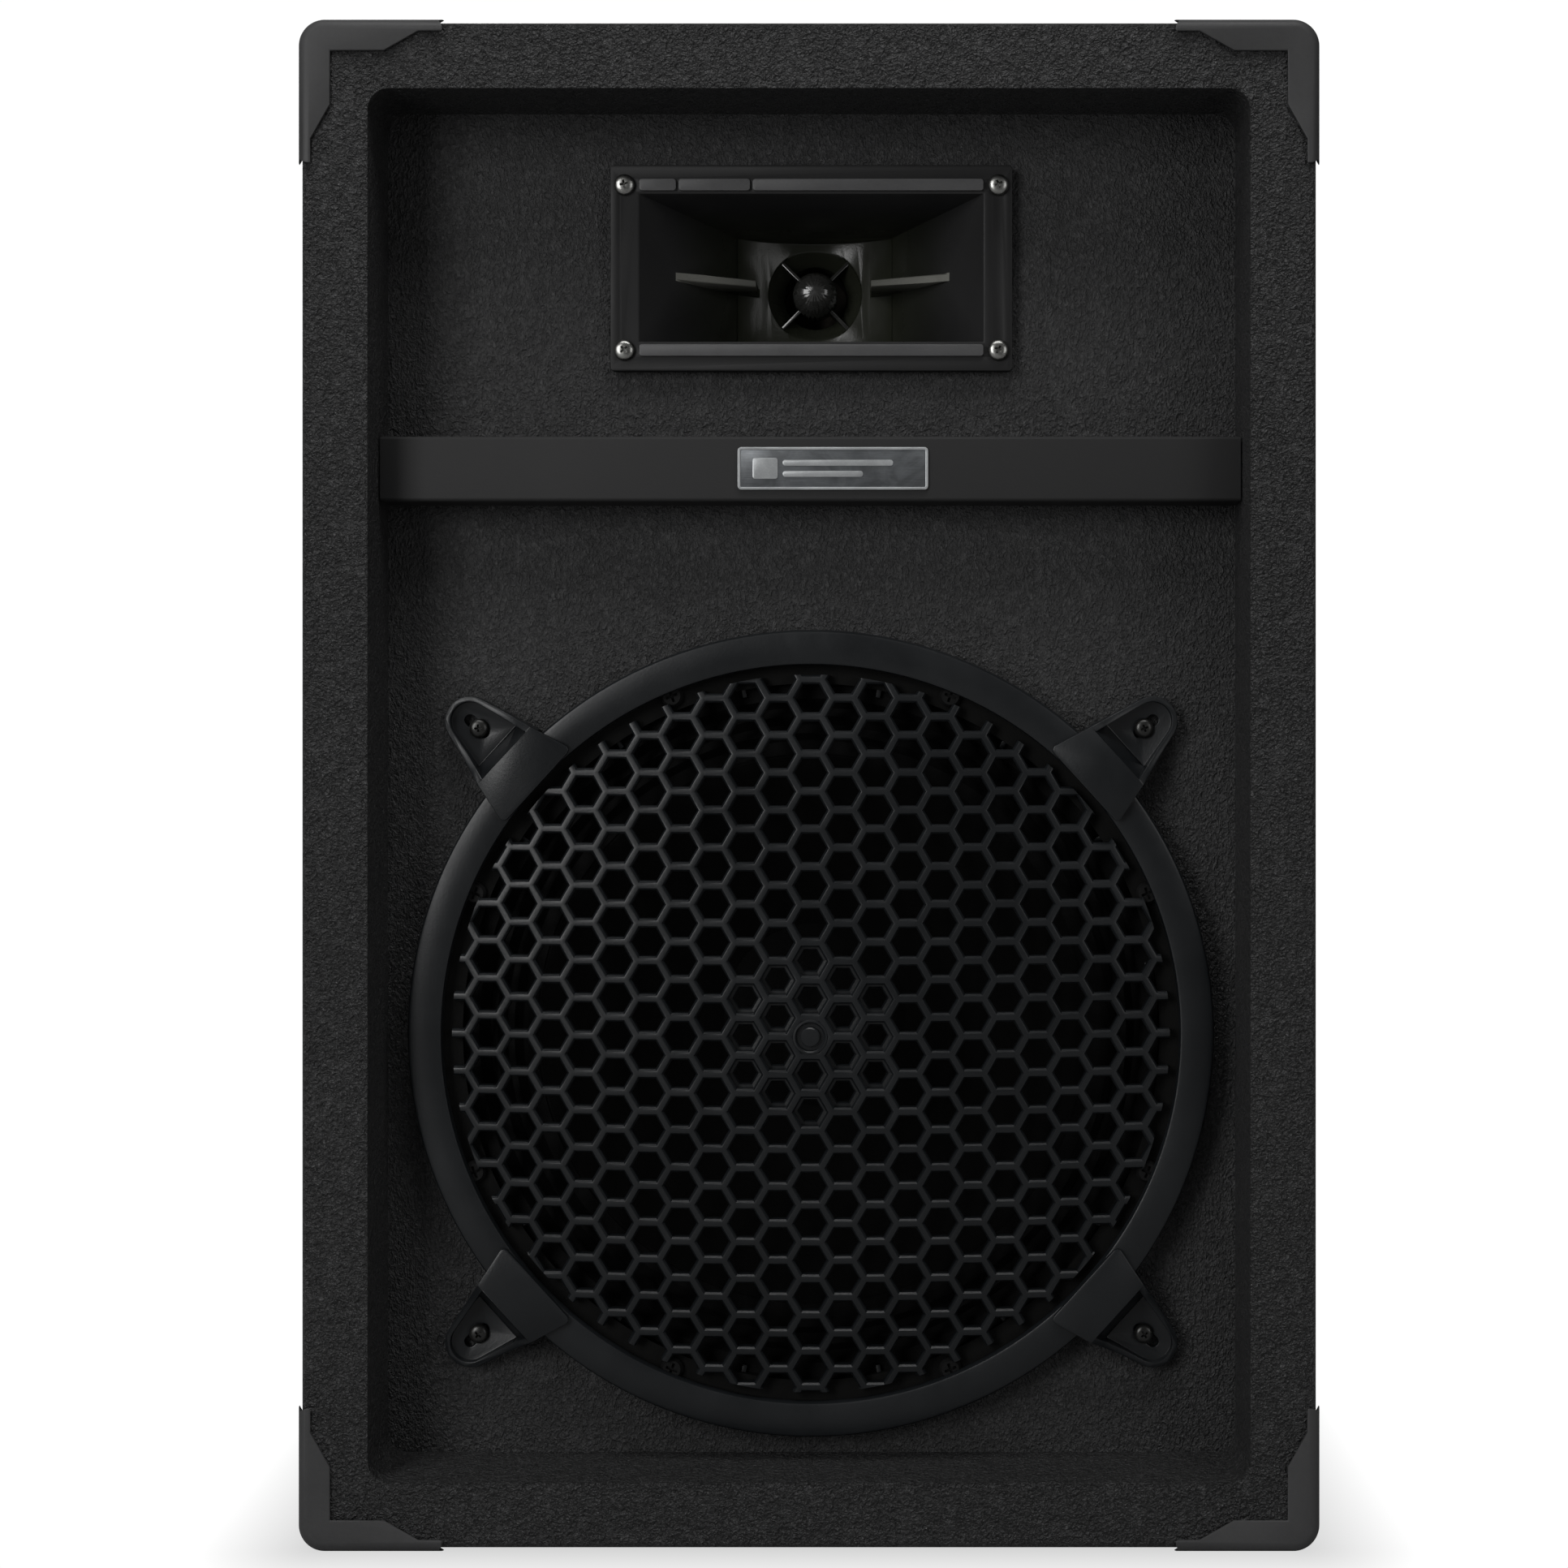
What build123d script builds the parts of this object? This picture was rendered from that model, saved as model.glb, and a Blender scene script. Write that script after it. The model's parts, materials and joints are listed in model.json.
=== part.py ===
from build123d import *
import math
import os

os.makedirs("parts", exist_ok=True)

# Frame: X to the right, Y to the back, Z up, millimetres. The front faces -Y.
# The origin is under the middle of the cabinet, on the floor.

# ---- overall ----
overall_width = 400.0
overall_depth = 330.0
overall_height = 600.0

# ---- carcass ----
protector_proud = 1.4
covering_thickness = 2.0
panel_thickness = 22.0
back_thickness = 18.0
baffle_thickness = 18.0
baffle_covering_thickness = 1.0
recess_depth = 40.0
long_edge_radius = 9.0
face_edge_radius = 3.0
recess_corner_radius = 8.5
cleat_width = 18.0
back_screw_spacing = 170.0

# ---- heights of the front parts above the floor ----
woofer_z = 199.5
bar_z = 426.0
horn_z = 509.0

# ---- corner protectors ----
protector_length = 57.0
protector_leg = 13.0
protector_inner_straight = 34.0
protector_flap = 57.0
flap_screw_offset = 19.0

# ---- trim bar and badge ----
bar_height = 26.0
bar_depth = 20.0
bar_end_gap = 0.5
badge_width = 76.0
badge_height = 17.0
badge_thickness = 1.2
badge_offset_x = 9.0

# ---- horn ----
horn_flange_width = 163.0
horn_flange_height = 83.5
horn_flange_thickness = 4.0
horn_gasket_thickness = 1.5
horn_mouth_width = 140.0
horn_mouth_height = 60.0
horn_wall = 2.5
horn_waist_half = 33.0
horn_waist_height = 45.0
horn_waist_depth = 46.0
horn_drum_radius = 52.0
horn_drum_depth = 58.0
throat_radius = 13.5
throat_flare_radius = 20.0
throat_start_depth = 64.0
horn_neck_depth = 82.0
horn_screw_x = 151.5
horn_screw_y = 67.0
cap_radius = 34.0
cap_depth = 26.0

# ---- woofer ----
flange_radius = 154.0
frame_wall_radius = 138.0
frame_sheet = 2.0
woofer_screw_circle = 147.0
woofer_screw_count = 8
surround_land_top = 2.8
woofer_gasket_top = 6.8
cone_edge_radius = 118.0
coil_radius = 25.2
ledge_radius = 78.0
neck_radius = 68.0
ledge_height = -70.0
base_height = -90.0
top_plate_thickness = 8.0
magnet_thickness = 18.0
magnet_radius = 78.0
yoke_plate_thickness = 8.0
gap_plate_radius = 27.3
pole_piece_radius = 24.5

# ---- woofer grille ----
grille_radius = 163.0
grille_ring_inner = 148.5
ring_top = 14.0
lattice_radius = 142.0
cell_pitch = 15.0
cell_across_flats = 11.8
dome_edge_top = 12.5
dome_apex = 24.0
lattice_thickness = 5.0
hub_limit = 31.0
hub_cell_across_flats = 8.0
clamp_angle = 42.3
clamp_screw_radius = 182.5
clamp_tongue_start = 148.0
clamp_fold = 165.0
clamp_tail_centre = 187.0
clamp_tail_radius = 10.0

# ---- rear dish and jack sockets ----
dish_z = 200.0
dish_flange_width = 116.0
dish_flange_height = 84.0
dish_flange_thickness = 2.5
dish_width = 88.0
dish_height = 58.0
dish_depth = 24.0
dish_wall = 2.5
jack_spacing = 44.0
jack_bore_radius = 3.25
jack_thread_radius = 4.6

# ---- side handles ----
handle_z = 345.0
handle_flange_length = 172.0
handle_flange_height = 100.0
handle_bowl_length = 144.0
handle_bowl_height = 76.0
handle_bowl_depth = 42.0
handle_wall = 3.0
handle_grip_height = 20.0

# ---- pole socket ----
pole_bore_radius = 18.1
pole_wall = 3.0
pole_top = 86.0
pole_flange_radius = 52.0
pole_y = 12.0

# ---- derived positions ----
half_width = overall_width / 2 - protector_proud
half_depth = overall_depth / 2 - protector_proud
base_z = protector_proud
top_z = overall_height - protector_proud
front_y = -half_depth
rear_y = half_depth
wood_half = half_width - covering_thickness
wood_base = base_z + covering_thickness
wood_top = top_z - covering_thickness
wood_front = front_y + covering_thickness
wood_rear = rear_y - covering_thickness
inner_half = wood_half - panel_thickness
inner_base = wood_base + panel_thickness
inner_top = wood_top - panel_thickness
inner_height = inner_top - inner_base
middle_z = (inner_base + inner_top) / 2
opening_half = inner_half - covering_thickness
opening_height = inner_height - 2 * covering_thickness
baffle_y = front_y + recess_depth
baffle_wood_front = baffle_y + baffle_covering_thickness
baffle_rear = baffle_wood_front + baffle_thickness
board_back = baffle_covering_thickness + baffle_thickness
back_inner = wood_rear - back_thickness
cell_apothem = cell_across_flats / 2
cell_corner = cell_apothem / math.cos(math.radians(30))
column_pitch = cell_pitch * math.cos(math.radians(30))

front = Plane(origin=(0, baffle_y, 0), x_dir=(1, 0, 0), z_dir=(0, -1, 0))
woofer = Plane(origin=(0, baffle_y, woofer_z), x_dir=(1, 0, 0), z_dir=(0, -1, 0))
horn = Plane(origin=(0, baffle_y, horn_z), x_dir=(1, 0, 0), z_dir=(0, -1, 0))
rear = Plane(origin=(0, wood_rear, 0), x_dir=(-1, 0, 0), z_dir=(0, 1, 0))
right_side = Plane(origin=(wood_half, 0, handle_z), x_dir=(0, 1, 0), z_dir=(1, 0, 0))


def save(name, shape):
    """One named piece, or a group of identical pieces."""
    export_step(shape, f"parts/{name}.step")


def block(x0, x1, y0, y1, z0, z1):
    """A box between six planes."""
    centre = Pos((x0 + x1) / 2, (y0 + y1) / 2, (z0 + z1) / 2)
    return centre * Box(x1 - x0, y1 - y0, z1 - z0)


def turned(points):
    """A body of revolution about the local Z axis from (radius, height) points."""
    return revolve(make_face(Plane.XZ * Polyline(*points, close=True)), Axis.Z)


def slab(sketch, bottom, top):
    """A flat sketch extruded between two local heights."""
    return Pos(0, 0, bottom) * extrude(sketch, amount=top - bottom)


def pan_screw(head_radius, head_height, shank_radius, shank_length):
    """Pan-head cross-recess screw, head seated at local height 0, pointing down."""
    shoulder = head_radius * 0.78
    body = turned(
        [
            (0, -shank_length),
            (shank_radius, -shank_length + shank_radius),
            (shank_radius, 0),
            (head_radius, 0),
            (head_radius, head_height * 0.45),
            (shoulder, head_height),
            (0, head_height),
        ]
    )
    slot = Box(head_radius * 1.1, head_radius * 0.24, head_height)
    cross = Pos(0, 0, head_height) * (slot + Rot(0, 0, 90) * slot)
    return body - cross


def flush_screw(head_radius, shank_radius, shank_length):
    """Countersunk cross-recess screw, top of the head at local height 0."""
    body = turned(
        [
            (0, -shank_length),
            (shank_radius, -shank_length + shank_radius),
            (shank_radius, -(head_radius - shank_radius)),
            (head_radius, 0),
            (0, 0),
        ]
    )
    slot = Box(head_radius * 1.1, head_radius * 0.24, head_radius * 0.7)
    return body - (slot + Rot(0, 0, 90) * slot)


def countersink(head_radius, shank_radius, shank_length):
    """The hole a countersunk screw fills."""
    return turned(
        [
            (0, -shank_length),
            (shank_radius, -shank_length + shank_radius),
            (shank_radius, -(head_radius - shank_radius)),
            (head_radius, 0),
            (0, 0),
        ]
    )


def at_corners(spacing_x, spacing_y):
    """Four places on a rectangle round the local origin."""
    return [Pos(sx * spacing_x / 2, sy * spacing_y / 2, 0) for sx in (-1, 1) for sy in (-1, 1)]


def on_circle(radius, count, start):
    """Equally spaced places on a circle, local X pointing outwards."""
    return [Rot(0, 0, start + 360 * i / count) * Pos(radius, 0, 0) for i in range(count)]


def rounded_envelope(inset, long_radius, face_radius):
    """The cabinet's outline, inset from the covering's outer faces."""
    shape = block(
        -half_width + inset,
        half_width - inset,
        front_y + inset,
        rear_y - inset,
        base_z + inset,
        top_z - inset,
    )
    shape = fillet(shape.edges().filter_by(Axis.Y), long_radius)
    if face_radius:
        ends = shape.faces().filter_by(Axis.Y)
        shape = fillet(ends.edges(), face_radius)
    return shape


# ---- corner protectors: moulded three-sided corners 1.4 mm proud of the covering ----
cabinet_outline = rounded_envelope(0, long_edge_radius, face_edge_radius)
protector_skin = (
    rounded_envelope(-protector_proud, long_edge_radius + protector_proud, face_edge_radius + protector_proud)
    - cabinet_outline
)


def protector_region():
    """Front L leg, side flap and top flap of the right-hand top front corner."""
    reach = protector_proud + 4
    corner = (half_width + protector_proud, top_z + protector_proud)
    leg = Polyline(
        (0, 0),
        (-protector_length, 0),
        (-protector_inner_straight, -protector_leg),
        (-protector_leg, -protector_leg),
        (-protector_leg, -protector_inner_straight),
        (0, -protector_length),
        close=True,
    )
    leg_prism = Plane(origin=(corner[0], front_y - protector_proud, corner[1]), z_dir=(0, -1, 0), x_dir=(1, 0, 0))
    leg_solid = leg_prism * extrude(make_face(leg), amount=-reach)
    flap = Polyline(
        (0, 0),
        (protector_flap, 0),
        (protector_flap * 0.72, protector_leg * 1.3),
        (protector_leg * 1.3, protector_flap * 0.72),
        (0, protector_flap),
        close=True,
    )
    side_plane = Plane(origin=(corner[0], front_y - protector_proud, corner[1]), x_dir=(0, 1, 0), z_dir=(-1, 0, 0))
    top_plane = Plane(origin=(corner[0], front_y - protector_proud, corner[1]), x_dir=(0, 1, 0), z_dir=(0, 0, 1))
    side_solid = side_plane * extrude(make_face(flap), amount=reach)
    top_solid = top_plane * extrude(make_face(flap), amount=-reach)
    return leg_solid + side_solid + top_solid


def flap_screws(builder, *sizes):
    """One screw in the side flap and one in the top flap of the same corner."""
    y = front_y - protector_proud + flap_screw_offset
    outer_x = half_width + protector_proud
    outer_z = top_z + protector_proud
    side = Plane(origin=(outer_x, y, outer_z - flap_screw_offset), x_dir=(0, 1, 0), z_dir=(1, 0, 0))
    top = Plane(origin=(outer_x - flap_screw_offset, y, outer_z), x_dir=(0, 1, 0), z_dir=(0, 0, 1))
    return [side * builder(*sizes), top * builder(*sizes)]


def everywhere(shape):
    """The same corner shape at all eight corners, by name."""
    found = {}
    mid = Plane.XY.offset(overall_height / 2)
    for depth_name, depth in (("front", shape), ("rear", mirror(shape, Plane.XZ))):
        for height_name, placed in (("top", depth), ("bottom", mirror(depth, mid))):
            found[f"{depth_name}_{height_name}_right"] = placed
            found[f"{depth_name}_{height_name}_left"] = mirror(placed, Plane.YZ)
    return found


corner_screw = (3.6, 1.8, 18.0)
screw_parts = []
screw_holes = []
for one in flap_screws(flush_screw, *corner_screw):
    screw_parts += list(everywhere(one).values())
for one in flap_screws(countersink, *corner_screw):
    screw_holes += list(everywhere(one).values())
protector = (protector_skin & protector_region()).solids().sort_by(SortBy.VOLUME)[-1]
for one in flap_screws(countersink, *corner_screw):
    protector = protector - one
for name, shape in everywhere(protector).items():
    save(f"corner_protector_{name}", shape)
save("corner_screws", Compound(children=screw_parts))

# ---- woofer screws, clamp screws, horn screws and bar screws, as placed pieces ----
woofer_screw_places = on_circle(woofer_screw_circle, woofer_screw_count, 22.5)
woofer_screw = pan_screw(4.5, 3.0, 2.2, woofer_gasket_top + board_back - 1)
woofer_screws = [
    woofer * (Pos(0, 0, woofer_gasket_top) * p * woofer_screw) for p in woofer_screw_places
]
clamp_floor = 3.5
clamp_turns = (clamp_angle, 180 - clamp_angle, 180 + clamp_angle, -clamp_angle)
clamp_places = [Rot(0, 0, turn) for turn in clamp_turns]
clamp_screw_places = [place * Pos(clamp_screw_radius, 0, 0) for place in clamp_places]
clamp_screws = [
    woofer * (Pos(0, 0, clamp_floor) * p * pan_screw(4.0, 2.7, 2.0, clamp_floor + 16))
    for p in clamp_screw_places
]
flange_seat = horn_gasket_thickness + horn_flange_thickness
horn_screw = pan_screw(4.3, 2.8, 2.0, flange_seat + 15)
horn_screws = [
    horn * (Pos(0, 0, flange_seat) * p * horn_screw) for p in at_corners(horn_screw_x, horn_screw_y)
]
bar_screw = Rot(180, 0, 0) * pan_screw(4.5, 2.8, 2.0, board_back + 12)
bar_screws = [
    front * (Pos(x, bar_z, -board_back) * bar_screw) for x in (-opening_half * 0.8, 0, opening_half * 0.8)
]
baffle_fasteners = woofer_screws + clamp_screws + horn_screws + bar_screws
save("woofer_screws", Compound(children=woofer_screws))
save("clamp_screws", Compound(children=clamp_screws))
save("horn_screws", Compound(children=horn_screws))
save("trim_bar_screws", Compound(children=bar_screws))

# ---- baffle board with its covering, and the cleats that hold it ----
cutouts = woofer * slab(Circle(frame_wall_radius + 1.5), -60, 20)
cutouts += horn * slab(
    RectangleRounded(horn_mouth_width + 2 * horn_wall + 2, horn_mouth_height + 2 * horn_wall + 2, 4), -60, 20
)
board = block(-inner_half, inner_half, baffle_wood_front, baffle_rear, inner_base, inner_top) - cutouts
skin = block(-inner_half, inner_half, baffle_y, baffle_wood_front, inner_base, inner_top) - cutouts
for fastener in baffle_fasteners:
    board = board - fastener
    skin = skin - fastener
save("baffle_board", board)
save("baffle_covering", skin)


def cleat_frame(y0, y1):
    """Four strips glued round the inside of the carcass."""
    low = block(-inner_half, inner_half, y0, y1, inner_base, inner_base + cleat_width)
    high = block(-inner_half, inner_half, y0, y1, inner_top - cleat_width, inner_top)
    upright = (inner_base + cleat_width, inner_top - cleat_width)
    left = block(-inner_half, -inner_half + cleat_width, y0, y1, *upright)
    right = block(inner_half - cleat_width, inner_half, y0, y1, *upright)
    return [low, high, left, right]


save("baffle_cleats", Compound(children=cleat_frame(baffle_rear, baffle_rear + cleat_width)))

# ---- rear terminal dish with two jack sockets ----
terminals = rear * Pos(0, dish_z, 0)
dish_rim = RectangleRounded(dish_flange_width, dish_flange_height, 8)
dish_outer = RectangleRounded(dish_width + 2 * dish_wall, dish_height + 2 * dish_wall, 8)
dish_inner = RectangleRounded(dish_width, dish_height, 6)
dish = slab(dish_rim, 0, dish_flange_thickness) + slab(dish_outer, -dish_depth - dish_wall, 0)
dish = dish - slab(dish_inner, -dish_depth, dish_flange_thickness)
jack_places = [Pos(-jack_spacing / 2, 0, 0), Pos(jack_spacing / 2, 0, 0)]
dish_screw = (3.4, 1.7, 17.0)
dish_screw_places = at_corners(dish_flange_width - 12, dish_flange_height - 12)
for p in jack_places:
    dish = dish - p * slab(Circle(jack_thread_radius), -dish_depth - dish_wall, -dish_depth)
for p in dish_screw_places:
    dish = dish - Pos(0, 0, dish_flange_thickness) * p * countersink(*dish_screw)
dish_screws = [
    terminals * (Pos(0, 0, dish_flange_thickness) * p * flush_screw(*dish_screw)) for p in dish_screw_places
]
jack_seat = -dish_depth - dish_wall
jack_body_depth = 26.0
jack = Pos(0, 0, jack_seat - jack_body_depth / 2) * Box(18, 20, jack_body_depth)
jack += slab(Circle(jack_thread_radius), jack_seat, -dish_depth + 6)
jack -= slab(Circle(jack_bore_radius), jack_seat - jack_body_depth + 3, -dish_depth + 6)
tag = Pos(0, 5, jack_seat - jack_body_depth - 3) * Box(3, 0.8, 6)
jack += tag + Pos(0, -10, 0) * tag
nut = slab(RegularPolygon(6.6, 6) - Circle(jack_thread_radius), -dish_depth, -dish_depth + 2.5)
save("terminal_dish", terminals * dish)
save("jack_sockets", Compound(children=[terminals * (p * jack) for p in jack_places]))
save("jack_nuts", Compound(children=[terminals * (p * nut) for p in jack_places]))
save("dish_screws", Compound(children=dish_screws))

# ---- back panel, its screws, its cleats and the wadding against it ----
back_screw = pan_screw(4.2, 2.4, 2.0, back_thickness + 14)
screw_line_x = inner_half - cleat_width / 2
screw_line_z = inner_height / 2 - cleat_width / 2
back_places = [
    Pos(sx * screw_line_x, middle_z + dz, 0) for sx in (-1, 1) for dz in (-back_screw_spacing, 0, back_screw_spacing)
]
back_places += [
    Pos(dx, middle_z + sz * screw_line_z, 0) for sz in (-1, 1) for dx in (-screw_line_x * 0.6, screw_line_x * 0.6)
]
back_screws = [rear * (p * back_screw) for p in back_places]
dish_cut = terminals * slab(
    RectangleRounded(dish_width + 2 * dish_wall, dish_height + 2 * dish_wall, 8), -60, 5
)
back = block(-inner_half, inner_half, back_inner, wood_rear, inner_base, inner_top) - dish_cut
back_cleats = cleat_frame(back_inner - cleat_width, back_inner)
for fastener in back_screws:
    back = back - fastener
    back_cleats = [strip - fastener for strip in back_cleats]
for fastener in dish_screws:
    back = back - fastener
save("back_panel", back)
save("back_cleats", Compound(children=back_cleats))
save("back_panel_screws", Compound(children=back_screws))
wadding_thickness = 20.0
wadding_half = inner_half - cleat_width
wadding = block(
    -wadding_half,
    wadding_half,
    back_inner - wadding_thickness,
    back_inner,
    inner_base + cleat_width,
    inner_top - cleat_width,
) - terminals * slab(Rectangle(dish_width + 24, dish_height + 24), -90, 5)
lid_wadding = block(
    -wadding_half,
    wadding_half,
    baffle_rear + cleat_width,
    back_inner - cleat_width - wadding_thickness,
    inner_top - wadding_thickness,
    inner_top,
)
save("acoustic_wadding", Compound(children=[wadding, lid_wadding]))

# ---- recessed side handles: moulded cup with a grip bar across it ----
handle_proud = covering_thickness + protector_proud * 0.8
bowl_outer = RectangleRounded(handle_bowl_length + 2 * handle_wall, handle_bowl_height + 2 * handle_wall, 14)
bowl_inner = RectangleRounded(handle_bowl_length, handle_bowl_height, 11)
handle_rim = RectangleRounded(handle_flange_length, handle_flange_height, 12)
cup = slab(handle_rim, 0, handle_proud) + slab(bowl_outer, -handle_bowl_depth, 0)
cup = cup - slab(bowl_inner, -handle_bowl_depth + handle_wall, handle_proud)
grip = Pos(0, handle_bowl_height / 4, -6) * Box(handle_bowl_length + handle_wall, handle_grip_height, 15)
grip = fillet(grip.edges().filter_by(Axis.X), 6)
cup = cup + grip
handle_screw = (4.0, 2.0, 20.0)
handle_screw_places = at_corners(handle_flange_length - 13, handle_flange_height - 13)
for p in handle_screw_places:
    cup = cup - Pos(0, 0, handle_proud) * p * countersink(*handle_screw)
cup = right_side * cup
side_handle_screws = [
    right_side * (Pos(0, 0, handle_proud) * p * flush_screw(*handle_screw)) for p in handle_screw_places
]
both_handle_screws = side_handle_screws + [mirror(s, Plane.YZ) for s in side_handle_screws]
handle_cut = right_side * slab(bowl_outer, -handle_bowl_depth - 5, 5)
handle_rim_cut = right_side * slab(handle_rim, 0, 8)
save("handle_right", cup)
save("handle_left", mirror(cup, Plane.YZ))
save("handle_screws", Compound(children=both_handle_screws))

# ---- pole socket: flanged tube let into the bottom panel ----
socket_foot = wood_base - 2.6
socket = Pos(0, pole_y, 0) * turned(
    [
        (pole_bore_radius, socket_foot),
        (pole_flange_radius, socket_foot),
        (pole_flange_radius, wood_base),
        (pole_bore_radius + pole_wall, wood_base),
        (pole_bore_radius + pole_wall, pole_top),
        (0, pole_top),
        (0, pole_top - pole_wall),
        (pole_bore_radius, pole_top - pole_wall),
    ]
)
socket_screw = (4.0, 2.0, 18.0)
socket_screw_places = [
    Pos(0, pole_y, socket_foot) * Rot(180, 0, 0) * p for p in on_circle(pole_flange_radius - 12, 4, 45)
]
for p in socket_screw_places:
    socket = socket - p * countersink(*socket_screw)
socket_screws = [p * flush_screw(*socket_screw) for p in socket_screw_places]
socket_cut = Pos(0, pole_y, 0) * slab(Circle(pole_bore_radius + pole_wall), -5, pole_top)
socket_rim_cut = Pos(0, pole_y, 0) * slab(Circle(pole_flange_radius), -5, wood_base)
save("pole_socket", socket)
save("pole_socket_screws", Compound(children=socket_screws))

# ---- four carcass panels, butt jointed, outer long edges rounded ----
wood_outline = rounded_envelope(covering_thickness, long_edge_radius - covering_thickness, 0)
side = block(inner_half, wood_half, wood_front, wood_rear, wood_base, wood_top) & wood_outline
side_left = mirror(side, Plane.YZ)
lid = block(-inner_half, inner_half, wood_front, wood_rear, inner_top, wood_top)
floor_panel = block(-inner_half, inner_half, wood_front, wood_rear, wood_base, inner_base) - socket_cut
side = side - handle_cut
side_left = side_left - mirror(handle_cut, Plane.YZ)
for hole in screw_holes + both_handle_screws:
    middle = hole.center()
    if middle.X > inner_half:
        side = side - hole
    elif middle.X < -inner_half:
        side_left = side_left - hole
for hole in screw_holes + socket_screws:
    middle = hole.center()
    if abs(middle.X) < wood_half and middle.Z > inner_top:
        lid = lid - hole
        side = side - hole
        side_left = side_left - hole
    elif abs(middle.X) < wood_half and middle.Z < inner_base:
        floor_panel = floor_panel - hole
        side = side - hole
        side_left = side_left - hole
save("side_panel_right", side)
save("side_panel_left", side_left)
save("top_panel", lid)
save("bottom_panel", floor_panel)

# ---- outer covering: sheet over the outside, turned in over the front edge to the baffle ----
opening = front * (Pos(0, middle_z, 0) * slab(
    RectangleRounded(2 * opening_half, opening_height, recess_corner_radius), 0, recess_depth + 5
))
lining = block(-inner_half, inner_half, front_y, baffle_y, inner_base, inner_top) - opening
rear_opening = block(-inner_half, inner_half, back_inner, rear_y + 5, inner_base, inner_top)
covering = cabinet_outline - wood_outline - opening - rear_opening
covering = covering + lining - handle_rim_cut - mirror(handle_rim_cut, Plane.YZ) - socket_rim_cut
for hole in screw_holes:
    covering = covering - hole
save("outer_covering", covering)

# ---- trim bar across the recess, with its small plate ----
bar = Pos(0, bar_z, bar_depth / 2) * Box(2 * (opening_half - bar_end_gap), bar_height, bar_depth)
bar = front * fillet(bar.edges().filter_by(Axis.X).group_by(Axis.Z)[-1], 1.5)
for fastener in bar_screws:
    bar = bar - fastener
save("trim_bar", bar)
badge = front * (Pos(badge_offset_x, bar_z, 0) * slab(
    RectangleRounded(badge_width, badge_height, 1.5), bar_depth, bar_depth + badge_thickness
))
save("badge_plate", badge)

# ---- horn: flanged flare narrowing to an upright curved wall with the round throat ----
mouth_outer = Pos(0, 0, horn_gasket_thickness) * Rectangle(
    horn_mouth_width + 2 * horn_wall, horn_mouth_height + 2 * horn_wall
)
mouth_inner = Pos(0, 0, flange_seat) * Rectangle(horn_mouth_width, horn_mouth_height)
waist_outer = Pos(0, 0, -horn_waist_depth) * Rectangle(
    2 * (horn_waist_half + horn_wall), horn_waist_height + 2 * horn_wall
)
waist_inner = Pos(0, 0, -horn_waist_depth) * Rectangle(2 * horn_waist_half, horn_waist_height)
drum_place = Pos(0, 0, horn_drum_radius - horn_drum_depth) * Rot(90, 0, 0)


def drum(extra):
    """The upright cylinder behind the waist, cut to the waist's width."""
    body = drum_place * Cylinder(horn_drum_radius + extra, horn_waist_height + 2 * extra)
    sides = Rectangle(2 * (horn_waist_half + extra), 2 * horn_waist_height)
    return body & slab(sides, -horn_drum_depth - 2 * horn_wall, -horn_waist_depth)


throat_cone = turned(
    [
        (0, -horn_waist_depth),
        (throat_flare_radius, -horn_waist_depth),
        (throat_flare_radius, -horn_drum_depth + 1),
        (throat_radius, -throat_start_depth),
        (0, -throat_start_depth),
    ]
)
throat_boss = turned(
    [
        (0, -horn_drum_depth + 3),
        (throat_flare_radius + 4, -horn_drum_depth + 3),
        (throat_flare_radius + 4, -horn_drum_depth - 2),
        (throat_radius + 4, -throat_start_depth - 2),
        (throat_radius + 4, -horn_neck_depth),
        (0, -horn_neck_depth),
    ]
)
horn_outer = loft([mouth_outer, waist_outer]) + drum(horn_wall) + throat_boss
horn_outer += slab(Circle(cap_radius), -horn_neck_depth - 3, -horn_neck_depth)
horn_inner = loft([mouth_inner, waist_inner]) + drum(0) + throat_cone
horn_inner += slab(Circle(throat_radius), -horn_neck_depth - 4, -throat_start_depth + 1)
flange = slab(RectangleRounded(horn_flange_width, horn_flange_height, 1.5), horn_gasket_thickness, flange_seat)
raised = 1.2
bar_line = horn_screw_y / 2
for x0, x1 in ((-69.5, -55.0), (-53.5, -25.0), (-23.5, 69.5)):
    rail = RectangleRounded(x1 - x0, 4.4, 1.0)
    flange += Pos((x0 + x1) / 2, bar_line, 0) * slab(rail, flange_seat, flange_seat + raised)
flange += Pos(0, -bar_line, 0) * slab(RectangleRounded(139, 4.4, 1.0), flange_seat, flange_seat + raised)
vane_outline = Polyline((-62, -11), (-24, -29), (-24, -54), (-37, -51), (-64, -15), close=True)
vane = Rot(90, 0, 0) * extrude(make_face(vane_outline), amount=1.5, both=True)
vanes = (vane + mirror(vane, Plane.YZ)) & horn_outer
horn_body = flange + horn_outer - horn_inner + vanes
for fastener in horn_screws:
    horn_body = horn_body - horn.location.inverse() * fastener
save("horn_body", horn * horn_body)
gasket_sketch = Rectangle(horn_flange_width - 2, horn_flange_height - 2)
gasket_sketch -= Rectangle(horn_mouth_width + 2 * horn_wall, horn_mouth_height + 2 * horn_wall)
horn_gasket = horn * slab(gasket_sketch, 0, horn_gasket_thickness)
for fastener in horn_screws:
    horn_gasket = horn_gasket - fastener
save("horn_gasket", horn_gasket)
plug_radius = 9.5
spoke_length = throat_flare_radius - plug_radius + 2
plug = turned([(0, -78), (6.0, -74), (plug_radius, -66), (plug_radius, -55), (7.5, -50), (4.0, -47), (0, -46)])
for i in range(4):
    spoke = Box(spoke_length, 1.6, 9)
    plug += Rot(0, 0, 45 + 90 * i) * Pos(plug_radius + spoke_length / 2 - 1, 0, -61.5) * spoke
plug = plug & horn_inner
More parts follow.
